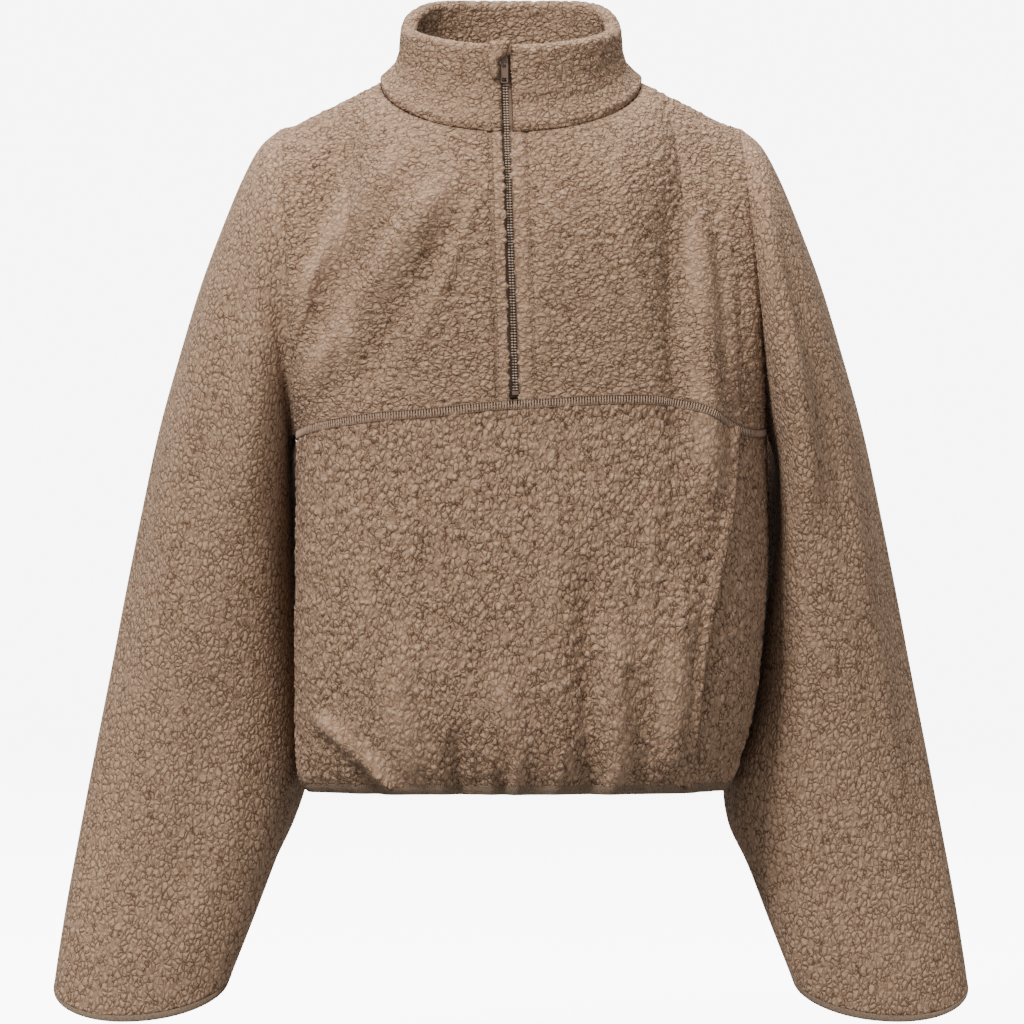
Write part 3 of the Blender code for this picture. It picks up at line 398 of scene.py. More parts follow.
class Torso:
    """The body below the chest seam, and the way round it by girth."""

    def __init__(self) -> None:
        """Reads the tables and measures the girth of the reference section."""
        self.rows = Columns(TORSO_COLUMNS, TORSO_ROWS)
        self.chest = Columns(CHEST_SEAM_COLUMNS, CHEST_SEAM_ROWS)
        self.sides = Columns(SIDE_SEAM_COLUMNS, SIDE_SEAM_ROWS)
        self.turns = np.linspace(-math.pi, 2 * math.pi, 3001)
        ring = self.ring(self.turns, np.full(self.turns.shape, GIRTH_Z))
        self.girths = np.concatenate([[0], np.cumsum(np.linalg.norm(np.diff(ring, axis=0), axis=1))])
        self.girths -= np.interp(0, self.turns, self.girths)
        self.loop = self.girth(2 * math.pi) - self.girth(0)

    def ring(self, turn: Array, z: Array) -> Array:
        """The outer surface; turn is in radians from centre front, positive to the right."""
        row = {name: self.rows.at(name, z) for name in TORSO_COLUMNS[1:]}
        across = np.abs(np.sin(turn)) ** (2 / SQUARENESS)
        along = np.abs(np.cos(turn)) ** (2 / SQUARENESS)
        on_right = np.sin(turn) >= 0
        side_x = np.where(on_right, row["right"], row["left"])
        side_y = np.where(on_right, row["right_depth"], row["left_depth"])
        end_y = np.where(np.cos(turn) >= 0, row["front"], row["back"])
        return points(FRONT_X + (side_x - FRONT_X) * across, side_y + (end_y - side_y) * along, z)

    def turn(self, girth: Array) -> Array:
        """The turn at a distance round the body."""
        return np.interp(girth, self.girths, self.turns)

    def girth(self, turn: Array) -> Array:
        """The distance round the body at a turn."""
        return np.interp(turn, self.turns, self.girths)

    def chest_seam_z(self, turn: Array) -> Array:
        """The chest seam's height at a turn."""
        degrees = np.degrees(turn)
        return self.chest.at("z", np.where(degrees > 180, degrees - 360, degrees))

    def seam_girth(self, name: str, z: Array) -> Array:
        """Where a side seam of the front lies, as a girth."""
        return self.girth(np.radians(self.sides.at(name, z)))

    def panel(self, start: Callable[[Array], Array], end: Callable[[Array], Array]) -> Surface:
        """A panel below the chest seam.

        Args:
            start: The girth of its first edge at each height.
            end: The girth of its other edge.

        Returns:
            The surface: a across the panel, b down it.
        """

        def surface(a: Array, b: Array) -> Array:
            """The panel's points."""
            rough_z = mixed(CHEST_Z, HEM_TOP, b)
            turn = self.turn(mixed(start(rough_z), end(rough_z), a))
            return self.ring(turn, mixed(self.chest_seam_z(turn), HEM_TOP, b))

        return surface

    def hem(self, a: Array, b: Array) -> Array:
        """The narrow band at the body's lower end."""
        return self.ring(self.turn(a * self.loop), mixed(HEM_TOP, HEM_BOTTOM, b))


TORSO = Torso()


def zip_x(z: Array) -> Array:
    """The zip's middle: it leans a little from the top down."""
    return ZIP_TOP_X + (ZIP_TOP_Z - z) * ZIP_SLOPE


def zip_edge_x(side: int, z: Array) -> Array:
    """Where the cloth ends beside the zip."""
    low, high = ZIP_RIGHT_GAP if side > 0 else ZIP_LEFT_GAP
    share = np.clip((z - ZIP_BOTTOM_Z) / (ZIP_TOP_Z - ZIP_BOTTOM_Z), 0, 1)
    return zip_x(z) + side * mixed(low, high, share)


def neck(angle: Array) -> Array:
    """The neck seam: angle in radians from centre front, positive to the right."""
    forward = np.cos(angle)
    reach = np.where(forward >= 0, NECK_Y - NECK_FRONT, NECK_BACK - NECK_Y)
    height = np.where(forward >= 0, NECK_FRONT_Z, NECK_BACK_Z) * np.abs(forward)
    return points(NECK_HALF_WIDTH * np.sin(angle), NECK_Y - reach * forward, height)


def bezier(corners: tuple[Array, Array, Array, Array], v: Array) -> Array:
    """Points along cubic curves."""
    p0, p1, p2, p3 = corners
    v = v[..., None]
    return (1 - v) ** 3 * p0 + 3 * (1 - v) ** 2 * v * p1 + 3 * (1 - v) * v**2 * p2 + v**3 * p3


@dataclass(frozen=True)
class YokeShape:
    """How a yoke leaves its seams.

    neck_slope is its slope at the neck's middle. From arm_from to arm_to, in shares of its width, its foot
    turns from upright to leaning in by lean. foot_hold and head_hold are how far the curve keeps each end's
    direction beside the armhole.
    """

    neck_slope: float
    arm_from: float
    arm_to: float
    lean: float
    foot_hold: float
    head_hold: float


YOKE_SHAPES = {
    1: YokeShape(-0.89, 0.60, 1.0, 0.65, 0.10, 0.075),
    -1: YokeShape(-0.60, 0.15, 0.8, 0.80, 0.16, 0.110),
}


class Yoke:
    """One half of the front (face 1) or back (face -1) yoke, on side -1 or 1."""

    def __init__(self, side: int, face: int) -> None:
        """Finds where the half starts at the zip or at centre back."""
        self.side, self.face = side, face
        self.middle = math.pi if face < 0 else 0.0
        self.side_turn = side * math.pi / 2
        self.neck_start = math.pi * side
        if face > 0:
            trial = np.linspace(-0.3, 0.3, 601)
            ring_x = TORSO.ring(trial, TORSO.chest_seam_z(trial))[:, 0]
            self.middle = float(np.interp(zip_edge_x(side, ZIP_BOTTOM_Z), ring_x, trial))
            self.neck_start = math.asin(zip_edge_x(side, NECK_FRONT_Z) / NECK_HALF_WIDTH)
        elif side < 0:
            self.side_turn = 1.5 * math.pi
        self.top = np.array([side, 1, 1]) * ARMHOLE_TOP

    def __call__(self, a: Array, b: Array) -> Array:
        """The plain surface.

        Args:
            a: From the centre (0) to the armhole (1).
            b: From the chest seam (0) to the neck and shoulder (1).

        Returns:
            Points on the outer face.
        """
        a, b = np.broadcast_arrays(np.asarray(a, float), np.asarray(b, float))
        side, face = self.side, self.face
        shape = YOKE_SHAPES[face]
        turn = TORSO.turn(mixed(TORSO.girth(self.middle), TORSO.girth(self.side_turn), a))
        foot = TORSO.ring(turn, TORSO.chest_seam_z(turn))
        neck_angle = mixed(self.neck_start, side * math.pi / 2, np.clip(a / NECK_SHARE, 0, 1))
        along = np.clip((a - NECK_SHARE) / (1 - NECK_SHARE), 0, 1)[..., None]
        shoulder = mixed(neck(np.array(side * math.pi / 2)), self.top, along)
        head = np.where(a[..., None] < NECK_SHARE, neck(neck_angle), shoulder)
        swing = SHOULDER_SWING * np.where(a < NECK_SHARE, a / NECK_SHARE, (1 - a) / (1 - NECK_SHARE))
        steep = mixed(shape.neck_slope, NECK_POINT_SLOPE, ease(a, 0.0, NECK_SHARE))
        on_shoulder = mixed(NECK_POINT_SLOPE, ARM_POINT_SLOPE, ease(a, NECK_SHARE, 1))
        steep = np.where(a > NECK_SHARE, on_shoulder, steep)
        flat = np.sqrt(1 - steep**2)
        off_head = points(side * np.sin(swing) * flat, -face * np.cos(swing) * flat, steep)
        toward_arm = ease(a, shape.arm_from, shape.arm_to)
        level = np.zeros_like(a)
        up = points(level, level + CENTRE_BULGE * face, level + 1.0)
        over = points(level, level - shape.lean * face, level + ARM_RISE)
        foot_arm = mixed(CENTRE_FOOT_HOLD, shape.foot_hold, toward_arm)
        head_arm = mixed(CENTRE_HEAD_HOLD, shape.head_hold, toward_arm)
        near_foot = foot + mixed(up, over, toward_arm[..., None]) * foot_arm[..., None]
        near_foot[..., 0] += (head[..., 0] - foot[..., 0]) / 3 * (1 - toward_arm)
        near_head = head + off_head * head_arm[..., None]
        straight = mixed(foot, head, 2 / 3)[..., 0]
        near_head[..., 0] = mixed(straight, near_head[..., 0], ease(a, 0.0, CENTRE_SHARE))
        return bezier((foot, near_foot, near_head, head), b)


def both_back_yokes(a: Array, b: Array) -> Array:
    """The back yoke in one: a from the left armhole (-1) to the right one (1)."""
    right, left = Yoke(1, -1), Yoke(-1, -1)
    return np.where((a >= 0)[..., None], right(np.abs(a), b), left(np.abs(a), b))


class Sleeve:
    """A sleeve's outer surface: a is the turn round it in whole turns, b the row of its table."""

    def __init__(self, side: int) -> None:
        """Reads the sections of one side's sleeve."""
        self.side = side
        self.rows = Columns(SLEEVE_COLUMNS, SLEEVE_ROWS).of
        self.last = len(SLEEVE_ROWS) - 1

    def ring(self, row: Array, angle: Array) -> Array:
        """Whole rows: angle 0 at the outer edge, a quarter turn at the front."""
        rows = self.rows
        inner_x = rows["inner_right_x" if self.side > 0 else "inner_left_x"]
        outer = points(self.side * rows["outer_x"], 0, rows["outer_z"])[row]
        inner = points(self.side * inner_x, 0, rows["inner_z"])[row]
        cos, sin = np.cos(angle), np.sin(angle)
        power = 2 / SLEEVE_ROUNDNESS
        across = np.sign(cos) * np.abs(cos) ** power
        forward = np.sign(sin) * np.abs(sin) ** power
        place = mixed(inner, outer, (across[..., None] + 1) / 2)
        half_depth = (rows["back"][row] - rows["front"][row]) / 2
        place[..., 1] = (rows["front"][row] + rows["back"][row]) / 2 - half_depth * forward
        place[..., 2] -= rows["drop"][row] * forward
        inward = ease(row, *SLEEVE_BACK_IN_ROWS[:2]) * (1 - ease(row, *SLEEVE_BACK_IN_ROWS[2:]))
        place[..., 0] -= self.side * SLEEVE_BACK_IN * inward * ease(-forward, 0, 1) * (1 - across) / 2
        return place

    def armhole(self, angle: Array) -> Array:
        """The armhole seam, read from the shoulder down the front."""
        turn = np.mod(angle, 2 * math.pi) / math.pi
        front = Yoke(self.side, 1)(np.ones_like(turn), np.clip(1 - turn, 0, 1))
        back = Yoke(self.side, -1)(np.ones_like(turn), np.clip(turn - 1, 0, 1))
        seam = np.where((turn <= 1)[..., None], front, back)
        return seam + np.array([self.side * ARMHOLE_SEAM_GAP, 0, 0])

    def plain(self, a: Array, b: Array) -> Array:
        """The surface without its folds."""
        a, b = np.broadcast_arrays(np.asarray(a, float), np.asarray(b, float))
        angle = 2 * math.pi * a
        row = np.clip(np.floor(b).astype(int), 0, self.last - 1)
        f = (b - row)[..., None]
        seam = self.armhole(angle)

        def at(i: Array) -> Array:
            """The section of each row, the armhole for row 0."""
            ring = self.ring(np.clip(i, 0, self.last), angle)
            return np.where((i <= 0)[..., None], seam, ring)

        here, after, beyond = at(row), at(row + 1), at(row + 2)
        before = np.where((row == 0)[..., None], 2 * here - after, at(row - 1))
        slope, next_slope = (after - before) / 2, (beyond - here) / 2
        rise = after - here
        bend = (3 * rise - 2 * slope - next_slope) * f**2 + (slope + next_slope - 2 * rise) * f**3
        return here + slope * f + bend

    def fold_height(self, a: Array, b: Array) -> Array:
        """How far the folds lift the cloth."""
        degrees = np.degrees(2 * math.pi * a) % 360
        lift = np.zeros(np.broadcast_shapes(a.shape, b.shape))
        for values in (*SLEEVE_FOLDS, *SLEEVE_CREASES):
            fold = dict(zip(SLEEVE_FOLD_COLUMNS, values, strict=True))
            run = (b - fold["row_top"]) / (fold["row_bottom"] - fold["row_top"])
            away = (degrees - mixed(fold["angle_top"], fold["angle_bottom"], run) + 180) % 360 - 180
            ends = ease(run, 0.0, 0.3) * (1 - ease(run, 0.7, 1.0))
            lift += fold["height"] * np.exp(-((away / fold["width"]) ** 2)) * ends
        return lift

    def __call__(self, a: Array, b: Array) -> Array:
        """The surface with its folds."""
        lift = self.fold_height(np.asarray(a, float), np.asarray(b, float))
        return self.plain(a, b) - self.side * normals(self.plain, a, b) * lift[..., None]


def body_fold_height(place: Array) -> Array:
    """How far the folds and creases lift the body's cloth at these points."""
    lift = np.zeros(place.shape[:-1])
    x, y, z = place[..., 0], place[..., 1], place[..., 2]
    for values in (*BODY_FOLDS, *BODY_CREASES):
        fold = dict(zip(FOLD_COLUMNS, values, strict=True))
        run = (z - fold["z_top"]) / (fold["z_bottom"] - fold["z_top"])
        away = (x - mixed(fold["x_top"], fold["x_bottom"], run)) / fold["width"]
        ends = ease(run, -0.12, 0.25) * (1 - ease(run, 0.8, 1.15))
        lift += fold["height"] * np.exp(-(away**2)) * ends * ease(-y * fold["face"], 0.0, 0.06)
    around = np.arctan2(x, -y) * HEM_GATHERS
    near_hem = ease(-z, -HEM_TOP - HEM_GATHER_REACH, -HEM_TOP)
    waves = np.sin(around + 1.3 * np.sin(around * 0.31)) + 0.5 * np.sin(around * 1.7 + 1)
    return FOLD_BOOST * (lift + HEM_GATHER_HEIGHT * near_hem * waves)


def normals(surface: Surface, a: Array, b: Array, step: float = 1e-3) -> Array:
    """Unit normals of a surface of two parameters, by differences."""
    along_a = surface(a + step, b) - surface(a - step, b)
    along_b = surface(a, b + step) - surface(a, b - step)
    return unit(np.cross(along_a, along_b))


def draped(base: Surface, out: int) -> Surface:
    """The surface with its folds lifted outwards; out is the sign that turns its normals outwards."""

    def surface(a: Array, b: Array) -> Array:
        """The folded surface's points."""
        place = base(a, b)
        away = out * normals(base, a, b)
        away[..., 2] *= ease(place[..., 2], *LEVEL_LIFT_Z)
        return place + unit(away) * body_fold_height(place)[..., None]

    return surface


class Collar:
    """The doubled stand collar's outline at each place round the neck."""

    HEIGHTS_UP = (0.0, 0.045, 0.09, 0.14, 0.2, 0.27, 0.35, 0.43, 0.52, 0.61, 0.7, 0.79, 0.88, 0.95)
    HEIGHTS_DOWN = (0.9, 0.75, 0.6, 0.45, 0.3, 0.15, 0.0)
    FRONT_RISE = 1.3
    BACK_RISE = 2.2

    def line(self, angle: Array, height: Array) -> tuple[Array, Array, Array]:
        """The outer face at a share of the height, the rim's middle, and the way out."""
        base = neck(angle)
        cos, sin = np.cos(angle), np.sin(angle)
        rim_reach = np.where(cos >= 0, NECK_Y - COLLAR_RIM_FRONT, COLLAR_RIM_BACK - NECK_Y)
        rim_end_z = np.where(cos >= 0, COLLAR_FRONT_Z, COLLAR_BACK_Z)
        ahead = np.abs(cos)
        rise = np.where(cos >= 0, ahead**self.FRONT_RISE, 1 - (1 - ahead) ** self.BACK_RISE)
        rim_z = mixed(COLLAR_SIDE_Z, rim_end_z, rise)
        rim = points(COLLAR_RIM_HALF_WIDTH * sin, NECK_Y - rim_reach * cos, rim_z)
        out = unit(points(sin / COLLAR_RIM_HALF_WIDTH, -cos / rim_reach, 0))
        flare = np.interp(height, *np.array(COLLAR_FLARE).T)[..., None]
        face = mixed(rim + out * COLLAR_RIM_RADIUS, base, flare)
        face[..., 2] = mixed(base[..., 2] + SEAM_GAP, rim[..., 2], height)
        return face, rim, out

    def profile(self, angle: Array) -> Array:
        """The closed outline of the doubled cloth at each angle, outline first."""
        rows = [self.line(angle, np.full(angle.shape, height))[0] for height in self.HEIGHTS_UP]
        _, rim, out = self.line(angle, np.ones(angle.shape))
        for lean in np.linspace(0, math.pi, 11):
            way = out * math.cos(lean) + np.array([0, 0, math.sin(lean)])
            rows.append(rim + COLLAR_RIM_RADIUS * way)
        for height in self.HEIGHTS_DOWN:
            place = self.line(angle, np.full(angle.shape, height))[0]
            straight = mixed(rim + out * COLLAR_RIM_RADIUS, neck(angle), 1 - height)
            straight[..., 2] = place[..., 2]
            rows.append(straight - out * mixed(2 * COLLAR_RIM_RADIUS, COLLAR_WALL, 1 - height))
        return np.stack(rows)


COLLAR = Collar()


class FrontLine:
    """The front face's y against z along the zip, from the chest seam to the collar's top."""

    def __init__(self) -> None:
        """Samples the front yoke's edge and the collar."""
        up = np.linspace(0, 1, 60)
        yoke_line = draped(Yoke(1, 1), 1)(np.zeros_like(up), up)
        angle = np.full(up.shape, math.asin(zip_x(0.0) / NECK_HALF_WIDTH))
        collar = COLLAR.line(angle, up)[0]
        z = np.concatenate([yoke_line[:-1, 2], collar[1:, 2]])
        y = np.concatenate([yoke_line[:-1, 1], collar[1:, 1]])
        order = np.argsort(z)
        self.z, self.y = z[order], y[order]

    def at(self, z: Array) -> Array:
        """The y of the front face."""
        return np.interp(z, self.z, self.y)

    def tape(self, z: Array) -> Array:
        """The y of the zip tape's front face: deeper where the yokes cover it."""
        return self.at(z) + mixed(TAPE_DEPTHS[0], TAPE_DEPTHS[1], ease(z, *TAPE_DEPTH_Z))


class Op(Enum):
    """The Math node operations that the shaders use."""

    ADD = "ADD"
    SUBTRACT = "SUBTRACT"
    MULTIPLY = "MULTIPLY"


class Value:
    """A number socket of a shader, with arithmetic that builds Math nodes."""

    def __init__(self, shader: "Shader", socket: bpy.types.NodeSocket) -> None:
        """Keeps the shader and the socket."""
        self.shader = shader
        self.socket = socket

    def made(self, op: Op, *numbers: "Value | float") -> "Value":
        """One Math node.

        Args:
            op: Its operation.
            numbers: What it works on, in order.

        Returns:
            The result.
        """
        node = self.shader.node("ShaderNodeMath", operation=op.value)
        for socket, number in zip(node.inputs, numbers, strict=False):
            self.shader.feed(socket, number)
        return Value(self.shader, node.outputs[0])

    def __add__(self, other: "Value | float") -> "Value":
        """Sum."""
        return self.made(Op.ADD, self, other)

    def __mul__(self, other: "Value | float") -> "Value":
        """Product."""
        return self.made(Op.MULTIPLY, self, other)

    def __rsub__(self, other: float) -> "Value":
        """A plain number less this value."""
        return self.made(Op.SUBTRACT, other, self)


class Shader:
    """A material with a Principled shader, built node by node."""

    def __init__(self, name: str) -> None:
        """Makes the material."""
        self.material = bpy.data.materials.new(name)
        self.material.use_nodes = True
        self.tree = self.material.node_tree
        self.principled = self.tree.nodes["Principled BSDF"]

    def node(self, kind: str, **settings: object) -> bpy.types.Node:
        """A node with its settings."""
        made = self.tree.nodes.new(kind)
        for name, value in settings.items():
            setattr(made, name, value)
        return made

    def feed(self, socket: bpy.types.NodeSocket, value: object) -> None:
        """Gives a socket a value, a number, a colour or another socket."""
        if isinstance(value, Value):
            self.tree.links.new(value.socket, socket)
        elif isinstance(value, bpy.types.NodeSocket):
            self.tree.links.new(value, socket)
        else:
            socket.default_value = value

    def set(self, **inputs: object) -> None:
        """Feeds the Principled shader's inputs by name, with _ for a space."""
        for name, value in inputs.items():
            self.feed(self.principled.inputs[name.replace("_", " ")], value)

    def attribute(self, name: str) -> Value:
        """A number stored on the mesh."""
        return Value(self, self.node("ShaderNodeAttribute", attribute_name=name).outputs["Fac"])

    def place(self, size: tuple[float, float, float]) -> bpy.types.NodeSocket:
        """Object coordinates counted in cells of this size."""
        coordinates = self.node("ShaderNodeTexCoord").outputs["Object"]
        scaled = self.node("ShaderNodeVectorMath", operation="DIVIDE")
        self.feed(scaled.inputs[0], coordinates)
        self.feed(scaled.inputs[1], size)
        return scaled.outputs[0]

    def fed(self, kind: str, inputs: dict[str, object], **settings: object) -> bpy.types.Node:
        """A node with its settings and its inputs by name."""
        node = self.node(kind, **settings)
        for name, value in inputs.items():
            self.feed(node.inputs[name], value)
        return node

    def warped(self, place: bpy.types.NodeSocket, amount: float, scale: float) -> bpy.types.NodeSocket:
        """The place pushed about by noise, so that cells lose their straight sides."""
        noise = self.fed("ShaderNodeTexNoise", {"Vector": place, "Scale": scale, "Detail": 2.0})
        push = self.node("ShaderNodeVectorMath", operation="MULTIPLY_ADD")
        for socket, value in zip(push.inputs, (noise.outputs["Color"], (amount,) * 3, place), strict=False):
            self.feed(socket, value)
        return push.outputs[0]

    def noise(self, place: bpy.types.NodeSocket, scale: float, detail: float = 3.0) -> Value:
        """Noise from 0 to 1."""
        node = self.fed("ShaderNodeTexNoise", {"Vector": place, "Scale": scale, "Detail": detail})
        return Value(self, node.outputs["Fac"])

    def cells(self, place: bpy.types.NodeSocket, scale: float, softness: float) -> Value:
        """The distance from the nearest cell's middle, with soft walls."""
        inputs = {"Vector": place, "Scale": scale, "Smoothness": softness}
        return Value(self, self.fed("ShaderNodeTexVoronoi", inputs, feature="SMOOTH_F1").outputs["Distance"])

    def walls(self, place: bpy.types.NodeSocket, scale: float) -> Value:
        """The distance from the nearest wall between cells."""
        node = self.fed("ShaderNodeTexVoronoi", {"Vector": place, "Scale": scale}, feature="DISTANCE_TO_EDGE")
        return Value(self, node.outputs["Distance"])

    def between(self, value: Value, low: float, high: float, start: float = 0.0, end: float = 1.0) -> Value:
        """The value's smooth step from start at low to end at high."""
        inputs = {"Value": value, "From Min": low, "From Max": high, "To Min": start, "To Max": end}
        node = self.fed("ShaderNodeMapRange", inputs, interpolation_type="SMOOTHSTEP")
        return Value(self, node.outputs["Result"])

    def colour(self, share: Value, low: object, high: object) -> bpy.types.NodeSocket:
        """A mix of two colours by a share."""
        node = self.node("ShaderNodeMix", data_type="RGBA")
        self.feed(node.inputs[0], share)
        for socket, given in ((node.inputs[6], low), (node.inputs[7], high)):
            self.feed(socket, (*given, 1.0) if isinstance(given, tuple) else given)
        return node.outputs[2]

    def bump(self, height: Value, distance: float, strength: float) -> bpy.types.NodeSocket:
        """A normal bent by a height from 0 to 1."""
        inputs = {"Height": height, "Distance": distance, "Strength": strength}
        return self.fed("ShaderNodeBump", inputs).outputs["Normal"]


@dataclass(frozen=True)
class Fleece:
    """Curly pile: rounded tufts split by thin crevices with painted shade, the curls' tops painted lighter,
    laid smooth on raised folds.
    """

    name: str = "fleece"
    curl: tuple[float, float, float] = (0.0038, 0.0040, 0.0058)
    # crevice is the painted shade colour of the crevices between tufts and of the curls' low parts.
    crevice: tuple[float, float, float] = (0.050, 0.024, 0.012)
    middle: tuple[float, float, float] = (0.282, 0.176, 0.110)
    # light is the pale tone of random strands, also painted light on the curls' raised tops and a little
    # painted sheen where the nap lies smooth.
    light: tuple[float, float, float] = (0.362, 0.238, 0.158)

    def material(self) -> bpy.types.Material:
        """The pile's material."""
        shader = Shader(self.name)
        place = shader.warped(shader.place(self.curl), 0.9, 0.9)
        place = shader.warped(place, 0.30, 3.1)
        wall = shader.walls(place, 1.0)
        strands = shader.noise(place, 2.6, 4.0)
        broken = shader.between(shader.noise(place, 0.7, 2.0), 0.34, 0.56, 0.25, 1.0)
        smooth_nap = shader.attribute("nap")
        clump = shader.attribute("clump")
        # Painted shade: darker near the cells' walls, in the crevices between tufts, less where the nap lies
        # smooth.
        crevice_shade_share = shader.between(wall, 0.0, 0.13, 1.0, 0.0) * broken
        crevice_shade_share = crevice_shade_share * shader.between(smooth_nap, 0.0, 1.0, 1.0, 0.6)
        round_top = shader.between(wall, 0.0, 0.42)
        height = round_top * 0.55 + strands * 0.30 + clump * 0.20
        height = height * shader.between(smooth_nap, 0.0, 1.0, 1.0, 0.7)
        # Painted light: lighter on the curls' raised, rounded tops, mixed with random strand tone and a
        # little painted sheen on smooth nap.
        pale_and_lit_share = shader.between(strands * 0.7 + clump * 0.25 + round_top * 0.25 + smooth_nap * 0.06, 0.35, 0.95)
        cloth = shader.colour(pale_and_lit_share, self.middle, self.light)
        # Painted shade where the curl's stored height is low: in hollows, along pressed seams and at the
        # garage's edges.
        low_curl_shade = shader.between(clump, 0.0, 0.40, 0.22, 0.0)
        base = shader.colour(crevice_shade_share * 0.92 + low_curl_shade * 0.6, cloth, self.crevice)
        shader.set(Base_Color=base, Roughness=0.92, Normal=shader.bump(height, 0.0023, 1.0))
        shader.set(Sheen_Weight=0.06, Sheen_Roughness=0.6, Sheen_Tint=(0.8, 0.68, 0.58, 1))
        shader.set(Specular_IOR_Level=0.15)
        return shader.material


@dataclass(frozen=True)
class Woven:
    """A fine woven or knitted cloth, as of the tape and the narrow bands, with painted shade between its
    threads.
    """

    name: str
    tint: tuple[float, float, float]
    thread: float = 0.0007

    def material(self) -> bpy.types.Material:
        """The cloth's material."""
        shader = Shader(self.name)
        place = shader.place((self.thread, self.thread * 1.6, self.thread))
        weave = shader.cells(place, 1.0, 0.4)
        # Painted shade: darker towards each cell's edge, where the bump is low, between the threads.
        thread_gap_shade = tuple(c * 0.62 for c in self.tint)
        shader.set(Base_Color=shader.colour(shader.between(weave, 0.2, 0.8), self.tint, thread_gap_shade), Roughness=0.85)
        shader.set(Normal=shader.bump(1.0 - weave, 0.0003, 0.6), Specular_IOR_Level=0.2)
        return shader.material


@dataclass(frozen=True)
class Plain:
    """A smooth finish: coil, thread or enamel."""

    name: str
    tint: tuple[float, float, float]
    roughness: float
    metallic: float = 0.0
    coat: float = 0.0

    def material(self) -> bpy.types.Material:
        """The finish's material."""
        shader = Shader(self.name)
        noise = shader.noise(shader.place((0.002, 0.002, 0.002)), 1.0)
        worn = shader.between(noise, 0.2, 0.8, self.roughness - 0.05, self.roughness + 0.05)
        shader.set(Base_Color=(*self.tint, 1.0), Roughness=worn)
        shader.set(Metallic=self.metallic, Coat_Weight=self.coat)
        return shader.material


@dataclass(frozen=True)
class Pile:
    """The pile worked into a cloth's mesh."""

    height: float = 0.0016
    curl: tuple[float, float, float] = (0.0068, 0.0068, 0.0088)
    seed: int = 7

    def lifts(self, place: Array) -> tuple[Array, Array]:
        """How far the pile stands out at each point, and the curl's own height from 0 to 1."""
        noise = Noise(self.seed)
        warped = place + 0.0016 * np.stack([noise.drift(place + i * 0.013, 0.013) for i in range(3)], axis=-1)
        curls = noise.curls(warped, np.array(self.curl))
        patches = 0.5 + 0.5 * noise.drift(place, 0.045)
        return self.height * (curls * 0.85 + patches * 0.3 - 0.55), curls


def add_mesh(name: str, verts: Array, faces: Faces, finish: bpy.types.Material) -> bpy.types.Object:
    """A smooth mesh object from points and faces."""
    mesh = bpy.data.meshes.new(name)
    mesh.from_pydata(verts.tolist(), [], faces)
    mesh.update()
    mesh.materials.append(finish)
    mesh.shade_smooth()
    made = bpy.data.objects.new(name, mesh)
    bpy.context.scene.collection.objects.link(made)
    return made


def store(piece: bpy.types.Object, name: str, values: Array, hidden: float = 0.0) -> None:
    """Keeps a number for each vertex, for the shader.

    Args:
        piece: The piece that the vertices belong to.
        name: The attribute's name.
        values: The numbers of its first vertices.
        hidden: The number that the others get.
    """
    every = np.full(len(piece.data.vertices), hidden, np.float32)
    every[: values.size] = values.ravel()
    kept = piece.data.attributes.new(name, "FLOAT", "POINT")
    kept.data.foreach_set("value", every)


